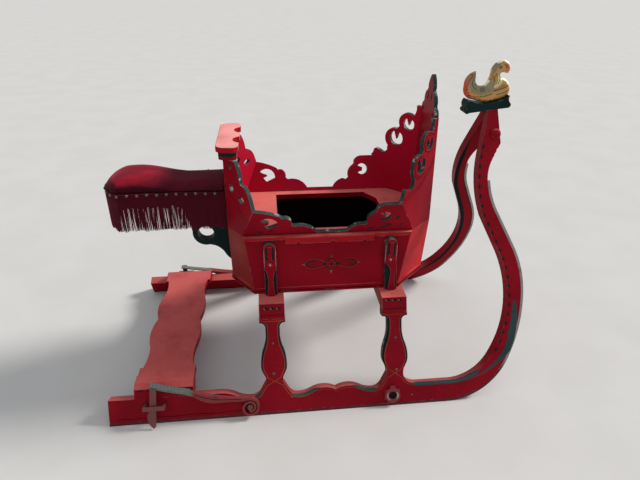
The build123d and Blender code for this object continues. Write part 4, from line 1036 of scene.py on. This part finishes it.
fringe_threads = fringe.build()
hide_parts("saddle_fringe")

# Gilt figure: rounded from its outline, carved, and coloured from listed glazes where the leaf is glazed, with
# painted highlights along its rims and painted shade in its grooves and hollows
FIGURE_HALF, FIGURE_ROUNDING, GROOVE_DEPTH = 15.0, 19.0, 2.6
figure_loops = mesh_outlines("gilt_figure", flat_frame((0, -FIGURE_HALF, 0), FORWARD, RIGHTWARD), 0.6)
grooves = [
    arc_through(*groove) for groove in (
        ((-96, 66), (-91, 104), (-70, 130), 8), ((-86, 52), (-40, 46), (6, 58), 8),
        ((-70, 122), (-77, 96), (-60, 76), 8), ((-2, 120), (8, 104), (4, 84), 6), ((8, 132), (18, 114), (14, 92), 6),
        ((20, 130), (27, 114), (22, 94), 6), ((10, 68), (40, 76), (62, 86), 6), ((24, 54), (52, 62), (76, 76), 6),
        ((44, 141), (56, 142), (65, 139), 4), ((32, 166), (42, 158), (44, 148), 5),
    )
]
for middle, width, height, steps in (((-34, 73), 9, 7, 12), ((-34, 73), 4, 3, 8), ((22, 154), 5, 5, 8)):
    grooves.append(arc_path(middle, width, height, 0, 340, steps))
ridges = [
    (arc_through((14, 76), (42, 84), (66, 92), 6), 5.0, 3.2),
    (arc_through((-92, 58), (-50, 38), (20, 38), 8), 6.0, 1.8),
    (arc_through((24, 122), (30, 108), (24, 92), 5), 5.0, 2.0),
]
# Listed glazes; the three near-white strips along the crown and the outer rims are painted highlights
glazes_and_highlights = [
    (((-76, 48), (-20, 34), (46, 50)), 14, (0.60, 0.29, 0.075)),
    (((-70, 134), (-78, 100), (-64, 76), (-40, 68), (-8, 76)), 18, (0.235, 0.215, 0.115)),
    (((-12, 98), (4, 84), (18, 86)), 14, (0.29, 0.26, 0.145)),
    (((-2, 140), (6, 158), (16, 168)), 9, (0.23, 0.20, 0.11)),
    (((-4, 128), (6, 112), (2, 98)), 6, (0.42, 0.20, 0.07)),
    (((28, 120), (28, 102), (18, 88)), 12, (0.80, 0.70, 0.34)),
    (((14, 72), (42, 82), (64, 92)), 8, (0.46, 0.17, 0.055)),
    (((46, 148), (66, 142)), 9, (0.64, 0.27, 0.08)),
    (((46, 163), (52, 152)), 6, (0.48, 0.07, 0.03)),
    (((-86, 128), (-101, 100)), 9, (0.40, 0.15, 0.065)),
    (((-106, 92), (-104, 66), (-88, 46)), 15, (0.64, 0.085, 0.030)),
    (((-60, 141), (-60, 104), (-50, 92), (-24, 91), (-14, 104)), 5, (0.95, 0.90, 0.66)),
    (((12, 171), (35, 180), (59, 169), (69, 146)), 4.5, (0.95, 0.92, 0.74)),
    (((36, 116), (62, 104), (80, 76), (76, 50)), 4.5, (0.93, 0.88, 0.66)),
    (((-8, 142), (-14, 112)), 3, (0.70, 0.48, 0.20)),
]
glazes_and_highlights = [(points_of(*path), reach, Vector(glaze)) for path, reach, glaze in glazes_and_highlights]
dark_spots = points_of(
    (22, 154), (-82, 127), (-67, 118), (-68, 106), (-64, 93), (31, 172), (43, 172), (8, 122), (-6, 110), (34, 140),
    (-84, 52), (-60, 44), (-40, 38), (-18, 33), (4, 33), (-94, 74), (-88, 62),
)


def bump(distance, width):
    """One on a line, fading away on both sides of it."""
    return math.exp(-((distance / width) ** 2))


figure = new_object("carved_figure", nodes["gilt_figure"].data.copy())
remesh(figure, 0.0018)
leaf_colour = figure.data.color_attributes.new("leaf_colour", "FLOAT_COLOR", "POINT")
for index, vertex in enumerate(figure.data.vertices):
    point = Vector((vertex.co.x * 1000, vertex.co.z * 1000))
    place = point - HEAD_CORNER
    full = min(1.0, max(0.0, edge_distance(point, figure_loops)) / FIGURE_ROUNDING)
    carve = sum(GROOVE_DEPTH * bump(path_distance(place, path), 1.7) for path in grooves)
    raised = sum(high * bump(path_distance(place, path), wide) for path, wide, high in ridges)
    scales = flutes = 0.0
    if place.x < 6 and place.y < 100:
        scales = 1.1 * max(0.0, math.sin(place.x * 0.5) * math.sin(place.y * 0.5 + place.x * 0.1))
    if 10 < place.x < 60 and 84 < place.y < 128:
        flutes = 0.9 * math.sin(place.x * 0.9 + place.y * 0.5)
    half = (FIGURE_HALF + 0.5) * math.sqrt(max(0.0, 1 - (1 - full) ** 2))
    half = max(0.7, half + (raised - carve - scales - flutes) * full ** 0.5)
    share = vertex.co.y * 1000 / FIGURE_HALF
    vertex.co.y = 0.001 * half * (math.copysign(1.0, share) if abs(share) > 0.6 else share)
    colour = Vector((0.50, 0.30, 0.085))
    for path, reach, glaze in glazes_and_highlights:
        weight = 1.5 - path_distance(place, path) / reach * 1.15 + 0.22 * noise.noise(vertex.co * 260)
        weight = max(0.0, min(1.0, weight))
        colour = colour.lerp(glaze, weight * weight * (3 - 2 * weight) * 0.95)
    colour *= 1 - 0.9 * bump(min((place - spot).length for spot in dark_spots), 2.6)
    # Darker in the carved grooves: painted shade
    colour *= 1 - 0.55 * min(1.0, carve / GROOVE_DEPTH)
    leaf_colour.data[index].color = (*colour, 1)

gilding, t, sockets = new_material("gilding", Roughness=0.42)
edge = t.group(arris_group, Radius=0.0012)
glaze = t.node("Attribute", attribute_name="leaf_colour")["Color"]
leaf_gold = t.group(worn_group, Top=glaze, Under=(0.22, 0.07, 0.025, 1), Amount=0.12, Scale=70.0)
# Darker in the hollows of the carving: painted shade
hollow_shade = t.times(t.ramp(t.node("NewGeometry")["Pointiness"], 0.50, 0.45), 0.6)
t.feed(sockets, Base_Color=t.mix(hollow_shade, leaf_gold["Colour"], (0.05, 0.025, 0.01, 1)),
       Metallic=t.times(t.minus(1.0, leaf_gold["Bare"]), 0.15))
finish_normal(t, sockets, leaf_gold["Height"], edge["Normal"], 0.3)
finish_mesh(figure.data, gilding)
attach(figure, "root")
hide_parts("gilt_figure")

# Floor, light and surroundings
corners = [(x * 200000, y * 200000, 0) for x, y in ((-1, -1), (1, -1), (1, 1), (-1, 1))]
floor = new_piece("studio_floor", corners, [[0, 1, 2, 3]])
floor.location.z = -0.0005
floor_material, t, sockets = new_material("studio_floor", Roughness=0.9, Specular_IOR_Level=0.1)
cloudy = t.ramp(t.noise(t.place(), 3.0, 4.0), 0.3, 0.7)
t.feed(sockets, Base_Color=t.mix(cloudy, (0.64, 0.63, 0.61, 1), (0.67, 0.66, 0.645, 1)))
floor.data.materials.append(floor_material)

# One broad soft lamp from the right, as in the photograph, and a pale surround
key_data = bpy.data.lights.new("key_lamp", "SUN")
key_data.energy = 2.9
key_data.angle = math.radians(14)
key_data.color = (1.0, 0.97, 0.93)
key_lamp = new_object("key_lamp", key_data)
key_lamp.rotation_euler = Vector((-0.80, -0.17, -0.57)).to_track_quat("-Z", "Y").to_euler()

world = bpy.data.worlds.new("studio")
bpy.context.scene.world = world
world.use_nodes = True
t = Tree(world.node_tree)
rays = t.node("LightPath")
seen = t.math("MAXIMUM", rays["Is Camera Ray"], t.times(rays["Is Glossy Ray"], 0.35))
surround = world.node_tree.nodes["Background"].inputs
t.feed(surround, Color=(0.93, 0.96, 1.0, 1), Strength=t.ramp(seen, 0.0, 1.0, 0.55, 0.85))
